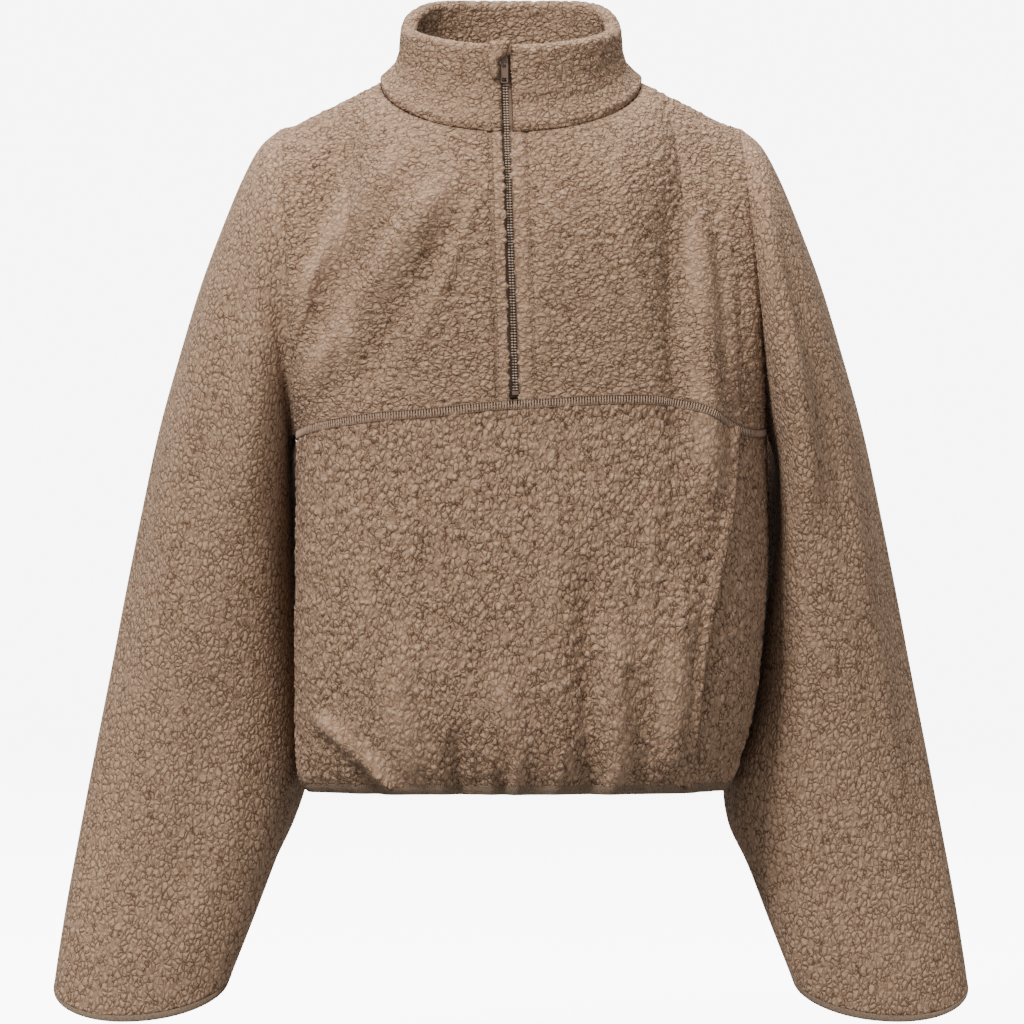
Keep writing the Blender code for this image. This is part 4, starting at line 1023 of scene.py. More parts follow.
class Shell:
    """One closed body between a fine outer grid and a coarser inner one."""

    def __init__(self, rows: int, columns: int, closed: bool) -> None:
        """Keeps the outer grid's counts and picks the lines that the inner grid keeps."""
        self.rows, self.columns, self.closed = rows, columns, closed
        self.kept_rows = self.kept(rows, closed)
        self.kept_columns = self.kept(columns, False)

    @staticmethod
    def kept(count: int, closed: bool) -> list[int]:
        """Every few lines, with the last one if the grid is open."""
        lines = list(range(0, count if closed else count - 1, INNER_EVERY))
        return lines if closed else [*lines, count - 1]

    def piece(
        self, name: str, outer: Array, inner: Array, flipped: bool, finish: bpy.types.Material
    ) -> bpy.types.Object:
        """The body as an object.

        Args:
            name: The CAD node that it stands for.
            outer: The outer grid's points.
            inner: The inner grid's points, as many; the lines that aren't kept are left out.
            flipped: Whether its faces turn the other way.
            finish: Its material.

        Returns:
            The object.
        """
        thinned = inner[self.kept_rows][:, self.kept_columns]
        verts = np.concatenate([outer.reshape(-1, 3), thinned.reshape(-1, 3)])
        return add_mesh(f"{name}_cloth", verts, self.faces(flipped), finish)

    def faces(self, flipped: bool) -> Faces:
        """All the faces: outside, inside and the cut edges between them."""
        rows, columns = self.rows, self.columns
        inner_columns = len(self.kept_columns)
        under = rows * columns
        made: Faces = []

        def outer(i: int, j: int) -> int:
            """The outer grid's vertex."""
            return (i % rows) * columns + j

        def inner(i: int, j: int) -> int:
            """The inner grid's vertex."""
            return under + (i % len(self.kept_rows)) * inner_columns + j

        for i in range(rows if self.closed else rows - 1):
            for j in range(columns - 1):
                made.append((outer(i, j), outer(i + 1, j), outer(i + 1, j + 1), outer(i, j + 1)))
        spans = len(self.kept_rows) if self.closed else len(self.kept_rows) - 1
        for i in range(spans):
            for j in range(inner_columns - 1):
                made.append((inner(i, j), inner(i, j + 1), inner(i + 1, j + 1), inner(i + 1, j)))
            start = self.kept_rows[i]
            end = self.kept_rows[i + 1] if i + 1 < len(self.kept_rows) else rows
            run = range(start, end + 1)
            made.append((*(outer(k, 0) for k in reversed(run)), inner(i, 0), inner(i + 1, 0)))
            last = inner_columns - 1
            made.append((*(outer(k, columns - 1) for k in run), inner(i + 1, last), inner(i, last)))
        if not self.closed:
            end_row = len(self.kept_rows) - 1
            for j in range(inner_columns - 1):
                run = range(self.kept_columns[j], self.kept_columns[j + 1] + 1)
                made.append((*(outer(0, k) for k in run), inner(0, j + 1), inner(0, j)))
                edge = [outer(rows - 1, k) for k in reversed(run)]
                made.append((*edge, inner(end_row, j), inner(end_row, j + 1)))
        return [tuple(reversed(face)) for face in made] if flipped else made


@dataclass(frozen=True)
class Cut:
    """A sheet as it is cut: its size before sewing and how it is held."""

    width: float
    length: float
    area: float
    held: str = "draped"
    rests_on: tuple[str, ...] = ()


@dataclass
class ClothPiece:
    """A cloth piece of the garment, made as a dense wall with its pile.

    node is the CAD node that it stands for, out the sign that turns the surface's normals outwards, spacing
    the distance between its points. Edges are keyed "a0" to "b1": rolled is the height of their roll, grooves
    how far in a stitched line runs, ragged how far the pile strays over them, reach how far it covers the
    seam there, and pressed names those that a seam presses down.
    """

    node: str
    surface: Surface
    span_a: tuple[float, float]
    span_b: tuple[float, float]
    out: int
    cut: Cut
    spacing: float = 0.0018
    closed: bool = False
    thick: float = 0.0026
    pile: Pile = field(default_factory=Pile)
    rolled: dict[str, float] = field(default_factory=dict)
    grooves: dict[str, float] = field(default_factory=dict)
    ragged: dict[str, float] = field(default_factory=dict)
    reach: dict[str, float] = field(default_factory=dict)
    pressed: tuple[str, ...] = ("a0", "a1", "b0", "b1")
    slot: str = "fleece"
    nap: Callable[[Array, Array, Array], Array] | None = None

    def grid(self) -> tuple[Array, Array]:
        """The two parameters at every point, spaced evenly enough for the pile."""
        rough_a = np.linspace(*self.span_a, 40, endpoint=not self.closed)
        rough_b = np.linspace(*self.span_b, 40)
        rough = self.surface(*np.meshgrid(rough_a, rough_b, indexing="ij"))
        wide = lengths_along(rough, 0)[-1].max()
        tall = lengths_along(rough, 1)[:, -1].max()
        a = np.linspace(*self.span_a, max(6, round(wide / self.spacing)), endpoint=not self.closed)
        b = np.linspace(*self.span_b, max(3, round(tall / self.spacing)))
        return np.meshgrid(a, b, indexing="ij")

    def edge_distance(self, outer: Array) -> dict[str, Array]:
        """How far each point is from each edge, keyed as rolled is."""
        down = lengths_along(outer, 1)
        found = {"b0": down, "b1": down[:, -1:] - down}
        if not self.closed:
            across = lengths_along(outer, 0)
            found |= {"a0": across, "a1": across[-1:] - across}
        return found

    def build(self, finish: bpy.types.Material) -> bpy.types.Object:
        """Args:
            finish: Its material.

        Returns:
            The finished object.
        """
        a, b = self.grid()
        base = self.surface(a, b)
        facing = self.out * normals(self.surface, a, b)
        edges = self.edge_distance(base)
        held = [away for key, away in edges.items() if key in self.pressed]
        pressed = ease(np.min(np.stack(held), axis=0), 0.0, SEAM_PRESS_WIDTH)
        lifts, curls = self.pile.lifts(base)
        nap = np.zeros(base.shape[:-1]) if self.nap is None else self.nap(a, b, base)
        for key, at in self.grooves.items():
            stitched = 1 - ease(edges[key], at - GROOVE_NAP_WIDTH, at + GROOVE_NAP_WIDTH)
            nap = np.maximum(nap, GROOVE_NAP * stitched)
        height = lifts * pressed * (1 - NAP_FLATTENING * nap) - SEAM_PRESS_DEPTH * (1 - pressed)
        for key, roll in self.rolled.items():
            height = height + roll * (1 - ease(edges[key], 0.0, ROLL_WIDTH))
        for key, at in self.grooves.items():
            height = height - GROOVE_DEPTH * np.exp(-(((edges[key] - at) / GROOVE_WIDTH) ** 2))
        outer = base + facing * (height + PILE_SLACK)[..., None]
        for key in self.ragged.keys() | self.reach.keys():
            inward = unit(np.gradient(base, axis="ab".index(key[0]))) * (1 if key[1] == "0" else -1)
            stray = self.ragged.get(key, 0.0) * (RAGGED_MIDDLE - curls) - self.reach.get(key, 0.0)
            stray = stray * (1 - ease(edges[key], 0.0, RAGGED_WIDTH))
            outer = outer + inward * stray[..., None]
        shell = Shell(*base.shape[:2], self.closed)
        made = shell.piece(self.node, outer, base - facing * self.thick, self.out < 0, finish)
        # The stored curl height falls to 0 where a seam presses the pile, so the shader paints shade along
        # the seams.
        store(made, "clump", curls * pressed, HIDDEN_CLUMP)
        store(made, "nap", nap)
        settle(made, self.node)
        return made


def settle(
    piece: bpy.types.Object, node: str, body: str = "garment"
) -> None:
    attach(piece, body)
    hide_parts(node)
    log.info("%s: %d faces", piece.name, len(piece.data.polygons))


@dataclass(frozen=True)
class Copy:
    """The small rounded shape that a row repeats: along the row, across it and off the cloth."""

    along: float
    across: float
    proud: float


class RowBuilder:
    """Lays copies of a small shape along a path, by Geometry Nodes."""

    def __init__(self) -> None:
        """Builds the node group once: a path mesh in, the placed copies out."""
        group = bpy.data.node_groups.new("row_of_copies", "GeometryNodeTree")
        face = group.interface
        face.new_socket("Geometry", in_out="INPUT", socket_type="NodeSocketGeometry")
        pitch = face.new_socket("Pitch", in_out="INPUT", socket_type="NodeSocketFloat")
        size = face.new_socket("Size", in_out="INPUT", socket_type="NodeSocketVector")
        finish = face.new_socket("Finish", in_out="INPUT", socket_type="NodeSocketMaterial")
        face.new_socket("Geometry", in_out="OUTPUT", socket_type="NodeSocketGeometry")
        self.group = group
        self.pitch, self.size, self.finish = pitch.identifier, size.identifier, finish.identifier
        given = self.node("NodeGroupInput")
        result = self.node("NodeGroupOutput")
        curve = self.node("GeometryNodeMeshToCurve")
        resampled = self.node("GeometryNodeResampleCurve", mode="LENGTH")
        length = next(s for s in resampled.inputs if s.name == "Length")
        tangent = self.node("GeometryNodeInputTangent")
        outward = self.node("GeometryNodeInputNamedAttribute", data_type="FLOAT_VECTOR")
        outward.inputs["Name"].default_value = "outward"
        along = self.node("FunctionNodeAlignRotationToVector", axis="X")
        facing = self.node("FunctionNodeAlignRotationToVector", axis="Z", pivot_axis="X")
        ball = self.node("GeometryNodeMeshUVSphere")
        for name, value in (("Segments", 8), ("Rings", 4), ("Radius", 0.5)):
            ball.inputs[name].default_value = value
        placed = self.node("GeometryNodeInstanceOnPoints")
        realised = self.node("GeometryNodeRealizeInstances")
        coloured = self.node("GeometryNodeSetMaterial")
        links = (
            (given.outputs["Geometry"], curve.inputs[0]),
            (curve.outputs[0], resampled.inputs["Curve"]),
            (given.outputs["Pitch"], length),
            (tangent.outputs[0], along.inputs["Vector"]),
            (along.outputs[0], facing.inputs["Rotation"]),
            (outward.outputs[0], facing.inputs["Vector"]),
            (resampled.outputs[0], placed.inputs["Points"]),
            (ball.outputs["Mesh"], placed.inputs["Instance"]),
            (facing.outputs[0], placed.inputs["Rotation"]),
            (given.outputs["Size"], placed.inputs["Scale"]),
            (placed.outputs[0], realised.inputs[0]),
            (realised.outputs[0], coloured.inputs["Geometry"]),
            (given.outputs["Finish"], coloured.inputs["Material"]),
            (coloured.outputs[0], result.inputs["Geometry"]),
        )
        for source, target in links:
            group.links.new(source, target)

    def node(self, kind: str, **settings: object) -> bpy.types.Node:
        """A node of the group with its settings."""
        made = self.group.nodes.new(kind)
        for name, value in settings.items():
            setattr(made, name, value)
        return made

    def build(
        self, name: str, paths: list[Path], pitch: float, copy: Copy, finish: bpy.types.Material
    ) -> bpy.types.Object:
        """Makes one piece from all the copies along some paths.

        Args:
            name: The piece's name.
            paths: Each path's points and the way off the cloth at each.
            pitch: The distance between copies.
            copy: The shape that is repeated.
            finish: Its material.

        Returns:
            The finished object.
        """
        verts = np.concatenate([path for path, _ in paths])
        edges: list[tuple[int, int]] = []
        start = 0
        for path, _ in paths:
            edges += [(start + i, start + i + 1) for i in range(len(path) - 1)]
            start += len(path)
        mesh = bpy.data.meshes.new(name)
        mesh.from_pydata(verts.tolist(), edges, [])
        ways = np.concatenate([way for _, way in paths])
        outward = mesh.attributes.new("outward", "FLOAT_VECTOR", "POINT")
        outward.data.foreach_set("vector", np.ascontiguousarray(ways, np.float32).ravel())
        path_piece = bpy.data.objects.new(name, mesh)
        bpy.context.scene.collection.objects.link(path_piece)
        row = path_piece.modifiers.new("row", "NODES")
        row.node_group = self.group
        row[self.pitch] = pitch
        row[self.size] = (copy.along, copy.across, copy.proud)
        row[self.finish] = finish
        bpy.context.view_layer.update()
        graph = bpy.context.evaluated_depsgraph_get()
        made = bpy.data.meshes.new_from_object(path_piece.evaluated_get(graph), depsgraph=graph)
        path_piece.modifiers.clear()
        path_piece.data = made
        made.shade_smooth()
        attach(path_piece, "garment")
        log.info("%s: %d faces", name, len(made.polygons))
        return path_piece


def path_on(surface: Surface, out: int, a: Array, b: Array, lift: float) -> Path:
    """A path on a cloth's face, and the way off the cloth along it."""
    away = out * normals(surface, a, b)
    return surface(a, b) + away * lift, away


@dataclass(frozen=True)
class Finishes:
    """The garment's materials."""

    body: bpy.types.Material
    yoke: bpy.types.Material
    binding: bpy.types.Material
    tape: bpy.types.Material
    coil: bpy.types.Material
    thread: bpy.types.Material
    bars: bpy.types.Material
    enamel: bpy.types.Material

    @staticmethod
    def made() -> "Finishes":
        """All the materials."""
        return Finishes(
            body=Fleece("fleece_long").material(),
            yoke=Fleece("fleece_short", curl=(0.0046, 0.0042, 0.0037)).material(),
            binding=Woven("binding", (0.165, 0.112, 0.076), 0.0012).material(),
            # The zip tape's tint is held darker than the fleece, partly as painted shade in the slot beside
            # the coil.
            tape=Woven("zip_tape", (0.180, 0.118, 0.080), 0.0006).material(),
            coil=Plain("zip_coil", (0.350, 0.262, 0.196), 0.42).material(),
            thread=Plain("thread", (0.120, 0.072, 0.046), 0.75).material(),
            bars=Plain("seam_bars", (0.300, 0.200, 0.138), 0.75).material(),
            enamel=Plain("brown_enamel", (0.150, 0.092, 0.062), 0.30, 0.3, 0.5).material(),
        )


def body_nap(a: Array, b: Array, base: Array) -> Array:
    """Where the pile lies smooth: on the crests of the folds."""
    patches = 0.5 + 0.5 * Noise(3).drift(base, 0.09)
    return np.clip(body_fold_height(base) / NAP_FOLD_HEIGHT, 0, 1) * ease(patches, *NAP_PATCHES)


def sleeve_nap(side: int) -> Callable[[Array, Array, Array], Array]:
    """The same for a sleeve, which also has a smooth streak down its outer edge."""
    sleeve = Sleeve(side)

    def nap(a: Array, b: Array, base: Array) -> Array:
        """How smooth the pile lies at each point."""
        folds = np.clip(sleeve.fold_height(a, b) / NAP_FOLD_HEIGHT, 0, 1)
        degrees = np.degrees(2 * math.pi * a)
        ends = ease(b, *STREAK_ROWS[:2]) * (1 - ease(b, *STREAK_ROWS[2:]))
        streak = np.exp(-(((degrees - STREAK_DEGREES) / STREAK_WIDTH) ** 2)) * ends
        patches = 0.5 + 0.5 * Noise(5).drift(base, 0.08)
        return np.clip(folds * ease(patches, *NAP_PATCHES) + STREAK_NAP * streak, 0, 1)

    return nap


class Cloth:
    """All the fleece and its bands."""

    def __init__(self, finishes: Finishes) -> None:
        """Keeps the materials."""
        self.finishes = finishes

    def yokes(self) -> None:
        """The two front yokes and the back yoke."""
        small = Pile(0.0013, (0.0064, 0.0062, 0.0058))
        halves = (
            (-1, "front_yoke_left", 0.0006, Cut(0.228, 0.290, 0.0490)),
            (1, "front_yoke_right", 0.0036, Cut(0.254, 0.280, 0.0520)),
        )
        for side, name, over_tape, cut in halves:
            ClothPiece(
                name, draped(Yoke(side, 1), side), (0.002, 1), (0, 0.999), side, cut,
                spacing=0.0015, pile=small, rolled={"a0": 0.0004, "a1": 0.0020},
                reach={"a0": over_tape, "a1": 0.0020}, grooves={"a0": 0.0088}, ragged={"a0": 0.0022},
                pressed=("b0", "b1"), nap=body_nap,
            ).build(self.finishes.yoke)
        arms = {"a0": 0.0020, "a1": 0.0020}
        ClothPiece(
            "back_yoke", draped(both_back_yokes, -1), (-1, 1), (0, 1), -1, Cut(0.500, 0.330, 0.1260),
            spacing=0.0022, pile=small, rolled=arms, reach=arms, pressed=("b0", "b1"), nap=body_nap,
        ).build(self.finishes.yoke)

    def lower_body(self) -> None:
        """The panels below the chest seam; the front's edge rolls over the side panel."""

        def seam(name: str, shift: float = 0.0) -> Callable[[Array], Array]:
            """The girth of a side seam of the front at each height, moved round by a shift."""
            return lambda z: TORSO.seam_girth(name, z) + shift

        left_front, right_front = seam("left_turn"), seam("right_turn")
        left_back, right_back = seam("left_turn", -SIDE_PANEL_WIDTH), seam("right_turn", SIDE_PANEL_WIDTH)

        def left_back_round(z: Array) -> Array:
            """The left one, a whole way round."""
            return left_back(z) + TORSO.loop

        panels = (
            ("front_lower", left_front, right_front, Cut(0.420, 0.296, 0.1160), 0.0016, {"a1": 0.0046}),
            ("side_panel_right", right_front, right_back, Cut(0.111, 0.276, 0.0300), 0.0018, {"a0": -0.0026}),
            ("back_lower", right_back, left_back_round, Cut(0.360, 0.278, 0.0970), 0.0024, {}),
            ("side_panel_left", left_back, left_front, Cut(0.111, 0.276, 0.0300), 0.0024, {}),
        )
        for name, start, end, cut, spacing, rolled in panels:
            ClothPiece(
                name, draped(TORSO.panel(start, end), -1), (0, 1), (0, 1), -1, cut,
                spacing=spacing, rolled=rolled, ragged={"b1": 0.0026}, reach={"b1": 0.0022}, nap=body_nap,
            ).build(self.finishes.body)

    def sleeves(self) -> None:
        """The two wide sleeves and their cuff bands."""
        for side, name in ((-1, "left"), (1, "right")):
            sleeve = Sleeve(side)
            cuff = sleeve.last - CUFF_BAND_SHARE
            ClothPiece(
                f"sleeve_{name}", sleeve, (0, 1), (0.0, cuff), -side,
                Cut(0.610, 0.690, 0.2350, rests_on=(f"front_yoke_{name}", "back_yoke")),
                spacing=0.0023, closed=True, rolled={"b0": 0.0020}, reach={"b0": 0.0020, "b1": 0.0016},
                pressed=("b1",), nap=sleeve_nap(side),
            ).build(self.finishes.body)
            ClothPiece(
                f"cuff_band_{name}", sleeve, (0, 1), (cuff + 0.01, sleeve.last), -side,
                Cut(0.365, 0.010, 0.0016), spacing=0.0012, closed=True, pile=Pile(0.0003), slot="binding",
                thick=0.0028,
            ).build(self.finishes.binding)

    def hem(self) -> None:
        """The narrow band round the body's lower end."""
        ClothPiece(
            "hem_band", draped(TORSO.hem, -1), (0, 1), (0.03, 1), -1, Cut(0.880, 0.010, 0.0080),
            spacing=0.0013, closed=True, pile=Pile(0.0003), slot="binding",
        ).build(self.finishes.binding)

    def collar(self) -> None:
        """The doubled stand collar."""
        start = math.asin(zip_edge_x(1, 0.0) / COLLAR_RIM_HALF_WIDTH)
        end = math.asin(zip_edge_x(-1, 0.0) / COLLAR_RIM_HALF_WIDTH) + 2 * math.pi
        angles = np.linspace(start, end, 340)
        ring = COLLAR.profile(angles)
        ring[:, 0, 0] = zip_edge_x(1, ring[:, 0, 2])
        ring[:, -1, 0] = zip_edge_x(-1, ring[:, -1, 2])
        ring = self.resampled(ring, 110)
        across = np.roll(ring, -1, axis=0) - np.roll(ring, 1, axis=0)
        along = np.gradient(ring, axis=1)
        away = unit(np.cross(across, along))
        lifts, curls = Pile(0.0013, (0.0062, 0.0062, 0.0062), 11).lifts(ring)
        run = lengths_along(ring, 1)
        pressed = ease(np.minimum(run, run[:, -1:] - run), 0.0, 0.004)
        moved = ring + away * (lifts * pressed - 0.0002)[..., None]
        count, stations = ring.shape[:2]
        faces: Faces = []
        for start in range(0, (stations - 1) * count, count):
            for j in range(count):
                after = (j + 1) % count
                faces.append((start + j, start + count + j, start + count + after, start + after))
        faces.append(tuple(range(count)))
        faces.append(tuple((stations - 1) * count + j for j in reversed(range(count))))
        made = add_mesh("collar_cloth", moved.transpose(1, 0, 2).reshape(-1, 3), faces, self.finishes.yoke)
        # The stored curl height falls to 0 at the neck seam, so the shader paints shade along it.
        store(made, "clump", (curls * pressed).T)
        store(made, "nap", np.zeros(count * stations))
        settle(made, "collar")

    @staticmethod
    def resampled(ring: Array, count: int) -> Array:
        """The closed outlines with evenly spaced points.

        Args:
            ring: Outline points by station.
            count: How many points each outline gets.

        Returns:
            The new points.
        """
        loop = np.concatenate([ring, ring[:1]])
        run = lengths_along(loop, 0)
        made = np.empty((count, ring.shape[1], 3))
        for station in range(ring.shape[1]):
            at = np.linspace(0, run[-1, station], count, endpoint=False)
            for axis in range(3):
                made[:, station, axis] = np.interp(at, run[:, station], loop[:, station, axis])
        return made

    def garage(self) -> None:
        """The teardrop flap over the zip's top, laid on the collar's front."""
        rows = Columns(GARAGE_COLUMNS, GARAGE_ROWS)
        down = np.linspace(GARAGE_ROWS[0][0], GARAGE_ROWS[-1][0], 26)
        left, right = rows.at("left", down), rows.at("right", down)
        across = np.linspace(0, 1, 18)[:, None]
        x = mixed(left, right, across)
        z = np.broadcast_to(down, x.shape)
        share = np.clip((z - NECK_FRONT_Z) / (COLLAR_FRONT_Z - NECK_FRONT_Z), 0, 1)
        base = COLLAR.line(np.arcsin(x / COLLAR_RIM_HALF_WIDTH), share)[0]
        over = np.clip(z - COLLAR_FRONT_Z, 0, COLLAR_RIM_RADIUS * 0.95)
        back = COLLAR_RIM_RADIUS - np.sqrt(COLLAR_RIM_RADIUS**2 - over**2)
        edge = np.sin(across * math.pi) ** 0.5 * np.sin(np.linspace(0.05, 0.95, 26) * math.pi) ** 0.4
        proud = GARAGE_LIFT + 0.0016 + (GARAGE_THICK + 0.0034) * edge
        loop = z + GARAGE_LOOP_RISE * ease(z, 0.010, GARAGE_ROWS[-1][0])
        outer = points(x, base[..., 1] + back - proud, loop)
        inner = points(x, base[..., 1] + back - GARAGE_LIFT, loop)
        lifts, curls = Pile(0.0011, (0.0052, 0.0052, 0.0052), 5).lifts(outer)
        outer[..., 1] -= lifts * edge
        made = Shell(*x.shape, False).piece("zip_garage", outer, inner, False, self.finishes.yoke)
        # The stored curl height falls to 0 at the flap's edges, so the shader paints shade there as a dark
        # outline.
        store(made, "clump", curls * edge)
        store(made, "nap", 0.8 * ease(edge, 0.4, 0.9))
        settle(made, "zip_garage")


class Zip:
    """The tapes and the coil; the slider, its tab and the stop are the CAD's own."""

    COIL_PITCH = 0.0021

    def __init__(self, finishes: Finishes, rows: RowBuilder) -> None:
        """Reads the front's line."""
        self.finishes, self.rows = finishes, rows
        self.front = FrontLine()

    def tapes(self) -> None:
        """The two woven tapes."""
        for side, name in ((-1, "zip_tape_left"), (1, "zip_tape_right")):
            heights = np.linspace(TAPE_BOTTOM_Z, TAPE_TOP_Z, 160)
            middle = zip_x(heights)
            in_collar = np.abs(zip_edge_x(side, heights) - middle) - SEAM_GAP
            narrow = ease(heights, NECK_FRONT_Z - 0.012, NECK_FRONT_Z - 0.006)
            width = mixed(TAPE_HALF_WIDTH, in_collar, narrow)
            parting = mixed(SEAM_GAP / 2, TAPE_PARTING, ease(heights, TAPE_PARTING_Z - 0.003, TAPE_PARTING_Z))
            x = middle + side * mixed(parting, width, np.linspace(0, 1, 7)[:, None])
            z = np.broadcast_to(heights, x.shape)
            outer = points(x, self.front.tape(z), z)
            inner = outer + np.array([0, TAPE_THICK, 0])
            made = Shell(*x.shape, False).piece(name, outer, inner, side < 0, self.finishes.tape)
            settle(made, name)

    def coil(self) -> None:
        """The closed coil: two rows of turns, side by side."""
        heights = np.linspace(STOP_Z + 0.0028, CHAIN_TOP_Z, 120)
        outward = np.tile([0.0, -1.0, 0.0], (len(heights), 1))
        y = self.front.tape(heights) - SEAM_GAP - CHAIN_THICK * 0.45
        paths = []
        for side in (-1, 1):
            paths.append((points(zip_x(heights) + side * CHAIN_WIDTH / 4, y, heights), outward))
        turn = Copy(self.COIL_PITCH * 0.60, CHAIN_WIDTH / 2, CHAIN_THICK)
        made = self.rows.build("zip_coil_turns", paths, self.COIL_PITCH, turn, self.finishes.coil)
        settle(made, "zip_chain")

    def metal(self) -> None:
        """The slider, its tab and the bottom stop, smoothed from their CAD forms."""
        bodies = {"zip_slider": "garment", "pull_tab": "pull_tab", "zip_bottom_stop": "garment"}
        for node, body in bodies.items():
            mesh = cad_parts[node].data.copy()
            made = bpy.data.objects.new(f"{node}_finished", mesh)
            bpy.context.scene.collection.objects.link(made)
            weld = made.modifiers.new("merged", "WELD")
            weld.merge_threshold = 1e-6
            rounded = made.modifiers.new("rounded edges", "BEVEL")
            rounded.width = 0.00012
            rounded.segments = 2
            rounded.limit_method = "ANGLE"
            mesh.materials.clear()
            mesh.materials.append(self.finishes.enamel)
            settle(made, node, body=body)


class Sewing:
    """The seams' thread: the flatlock chest seam, the topstitching by the zip, and the pocket's bartack."""

    LADDER_PITCH = 0.0021
    LADDER_WIDTH = 0.0066
    LINE_PITCH = 0.0022
    LINE_OFFSET = 0.0032
    STITCH_PITCH = 0.0032
    STITCH_FROM_EDGE = 0.0088
    BARTACK_Z = (-0.330, -0.342)
    BARTACK_LIFT = 0.0028

    def __init__(self, finishes: Finishes, rows: RowBuilder) -> None:
        """Keeps the thread and the row builder."""
        self.finishes, self.rows = finishes, rows

    def chest_seam(self) -> None:
        """Bars across the seam and a line of thread on each side of it."""
        turns = np.linspace(0, TORSO.loop, 700, endpoint=False)
        body = draped(lambda a, b: TORSO.ring(TORSO.turn(a), TORSO.chest_seam_z(TORSO.turn(a)) - b), -1)
        seam = path_on(body, -1, turns, np.zeros_like(turns), 0.0004)
        bar = Copy(0.0011, self.LADDER_WIDTH, 0.0009)
        self.rows.build("chest_seam_bars", [seam], self.LADDER_PITCH, bar, self.finishes.bars)
        sides = [np.full(turns.shape, down) for down in (-self.LINE_OFFSET, self.LINE_OFFSET)]
        lines = [path_on(body, -1, turns, side, 0.0004) for side in sides]
        stitch = Copy(0.0024, 0.0009, 0.0008)
        self.rows.build("chest_seam_lines", lines, self.LINE_PITCH, stitch, self.finishes.thread)

    def zip_topstitch(self) -> None:
        """A row of stitches down each side of the zip, about 9 mm from the cloth's edge."""
        up = np.linspace(0.02, 0.97, 120)
        paths = []
        for side in (-1, 1):
            yoke = Yoke(side, 1)
            surface = draped(yoke, side)
            wide = np.linalg.norm(surface(np.full(120, 0.06), up) - surface(np.zeros(120), up), axis=-1)
            paths.append(path_on(surface, side, 0.06 * self.STITCH_FROM_EDGE / wide, up, 0.0010))
        stitch = Copy(0.0027, 0.0009, 0.0008)
        self.rows.build("zip_topstitch", paths, self.STITCH_PITCH, stitch, self.finishes.thread)

    def garage_shadow_outline(self) -> None:
        """A close row of dark thread copies along both the garage's edges: painted shadow that outlines the
        flap.
        """
        rows = Columns(GARAGE_COLUMNS, GARAGE_ROWS)
        z = np.linspace(GARAGE_ROWS[0][0], GARAGE_ROWS[-1][0], 60)
        share = np.clip((z - NECK_FRONT_Z) / (COLLAR_FRONT_Z - NECK_FRONT_Z), 0, 1)
        away = np.broadcast_to(np.array([0.0, -1.0, 0.0]), (60, 3))
        paths = []
        for edge in ("left", "right"):
            x = rows.at(edge, z)
            y = COLLAR.line(np.arcsin(x / COLLAR_RIM_HALF_WIDTH), share)[0][..., 1]
            paths.append((points(x, y - GARAGE_LIFT - 0.0018, z), away))
        self.rows.build("garage_shadow_outline", paths, 0.0012, Copy(0.0012, 0.0009, 0.0008), self.finishes.thread)

    def pocket_bartack(self) -> None:
        """The bar of close stitches at the top of the seam pocket's opening."""
        z = np.linspace(*self.BARTACK_Z, 8)
        turn = TORSO.turn(TORSO.seam_girth("right_turn", z))
        place = TORSO.ring(turn, z)
        away = unit(place * np.array([1, 1, 0]))
        place = place + away * self.BARTACK_LIFT
        stitch = Copy(0.0008, 0.0036, 0.0010)
        self.rows.build("pocket_bartack", [(place, away)], 0.0010, stitch, self.finishes.thread)


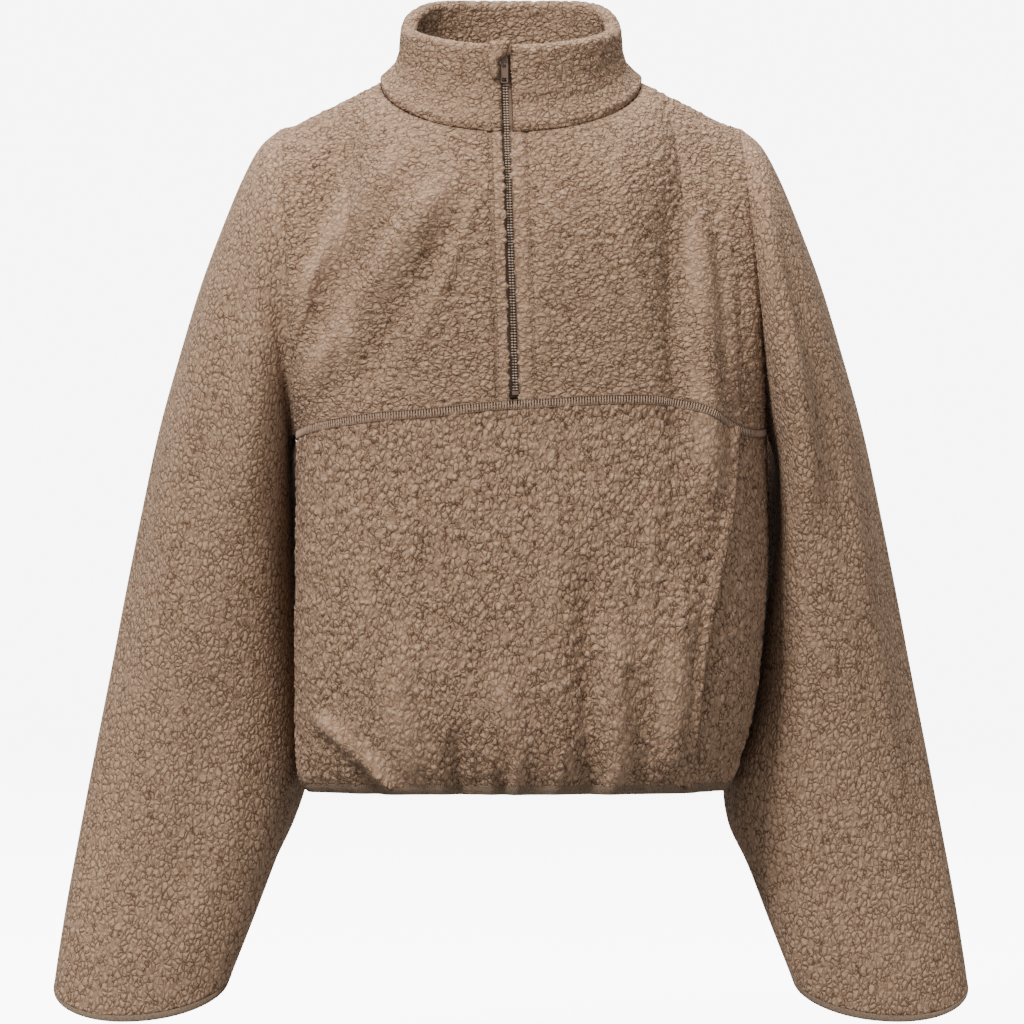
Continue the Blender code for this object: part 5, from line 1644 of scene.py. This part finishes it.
class Studio:
    """A plain pale floor that curves up all round, soft lights, and the camera of the photo."""

    FLOOR_Z = -0.752
    FLOOR_REACH = 7.0
    FLOOR_SIDES = 48
    FLOOR_CURVE = 2.0
    WALL_TOP = 8.0
    FLOOR_GLOW = 7.0
    SURROUND_GLOW = 0.50
    LIGHTS = (
        ("key", (-1.7, -2.4, 2.5), 0.9, 270),
        ("fill", (2.4, -3.2, 0.8), 2.2, 42),
        ("backdrop_light", (0.0, 0.9, 3.4), 3.0, 330),
    )
    LIGHTS_AIM = (0, 0, -0.3)
    CAMERA_PLACE = (0.0008, -5.0, -0.329)
    LENS = 229.3
    SENSOR = 36.0

    def floor(self) -> None:
        """The floor and backdrop in one bowl, which stands round every view."""
        turn = np.linspace(0, math.pi / 2, 12)
        curve = self.FLOOR_CURVE
        reach = np.concatenate([[0.01], self.FLOOR_REACH + curve * np.sin(turn), [self.FLOOR_REACH + curve]])
        height = np.concatenate([[0.0], curve * (1 - np.cos(turn)), [self.WALL_TOP]])
        round_about = np.linspace(0, 2 * math.pi, self.FLOOR_SIDES, endpoint=False)[:, None]
        verts = points(reach * np.cos(round_about), reach * np.sin(round_about), self.FLOOR_Z + height)
        index = np.arange(verts.shape[0] * len(reach)).reshape(-1, len(reach))
        after = np.roll(index, -1, axis=0)
        sides = np.stack([index[:, :-1], after[:, :-1], after[:, 1:], index[:, 1:]], axis=-1).reshape(-1, 4)
        faces = [*sides.tolist(), index[::-1, 0].tolist()]
        shader = Shader("pale_floor")
        shader.set(Base_Color=(0.94, 0.94, 0.94, 1), Roughness=0.9)
        shader.set(Emission_Color=(1, 1, 1, 1), Emission_Strength=self.FLOOR_GLOW)
        floor = add_mesh("floor", verts.reshape(-1, 3), faces, shader.material)
        floor.visible_diffuse = floor.visible_glossy = False

    def light(self, name: str, place: tuple[float, float, float], size: float, watts: float) -> None:
        """A soft square light aimed at the garment."""
        lamp = bpy.data.lights.new(name, "AREA")
        lamp.energy, lamp.size = watts, size
        made = bpy.data.objects.new(name, lamp)
        made.location = place
        aim = Vector(self.LIGHTS_AIM) - Vector(place)
        made.rotation_euler = aim.to_track_quat("-Z", "Y").to_euler()
        bpy.context.scene.collection.objects.link(made)

    def lights(self) -> None:
        """A soft top key, front fills and a pale surround."""
        for name, place, size, watts in self.LIGHTS:
            self.light(name, place, size, watts)
        world = bpy.data.worlds.new("surround")
        world.use_nodes = True
        background = world.node_tree.nodes["Background"].inputs
        background["Color"].default_value = (1, 1, 1, 1)
        background["Strength"].default_value = self.SURROUND_GLOW
        bpy.context.scene.world = world

    def camera(self) -> None:
        """A long lens straight in front."""
        lens = bpy.data.cameras.new("camera")
        lens.lens, lens.sensor_width = self.LENS, self.SENSOR
        lens.clip_end = 50
        made = bpy.data.objects.new("camera", lens)
        made.location = self.CAMERA_PLACE
        made.rotation_euler = (math.pi / 2, 0, 0)
        bpy.context.scene.collection.objects.link(made)
        bpy.context.scene.camera = made


def main() -> None:
    """Builds the finish in order."""
    logging.basicConfig(level=logging.INFO, format="%(message)s")
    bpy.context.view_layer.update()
    finishes = Finishes.made()
    rows = RowBuilder()
    cloth = Cloth(finishes)
    cloth.yokes()
    cloth.lower_body()
    cloth.sleeves()
    cloth.hem()
    cloth.collar()
    cloth.garage()
    fastening = Zip(finishes, rows)
    fastening.tapes()
    fastening.coil()
    fastening.metal()
    sewing = Sewing(finishes, rows)
    sewing.chest_seam()
    sewing.zip_topstitch()
    # The garage's painted shadow outline in dark thread.
    sewing.garage_shadow_outline()
    sewing.pocket_bartack()
    studio = Studio()
    studio.floor()
    studio.lights()
    studio.camera()


if __name__ == "__main__":
    main()
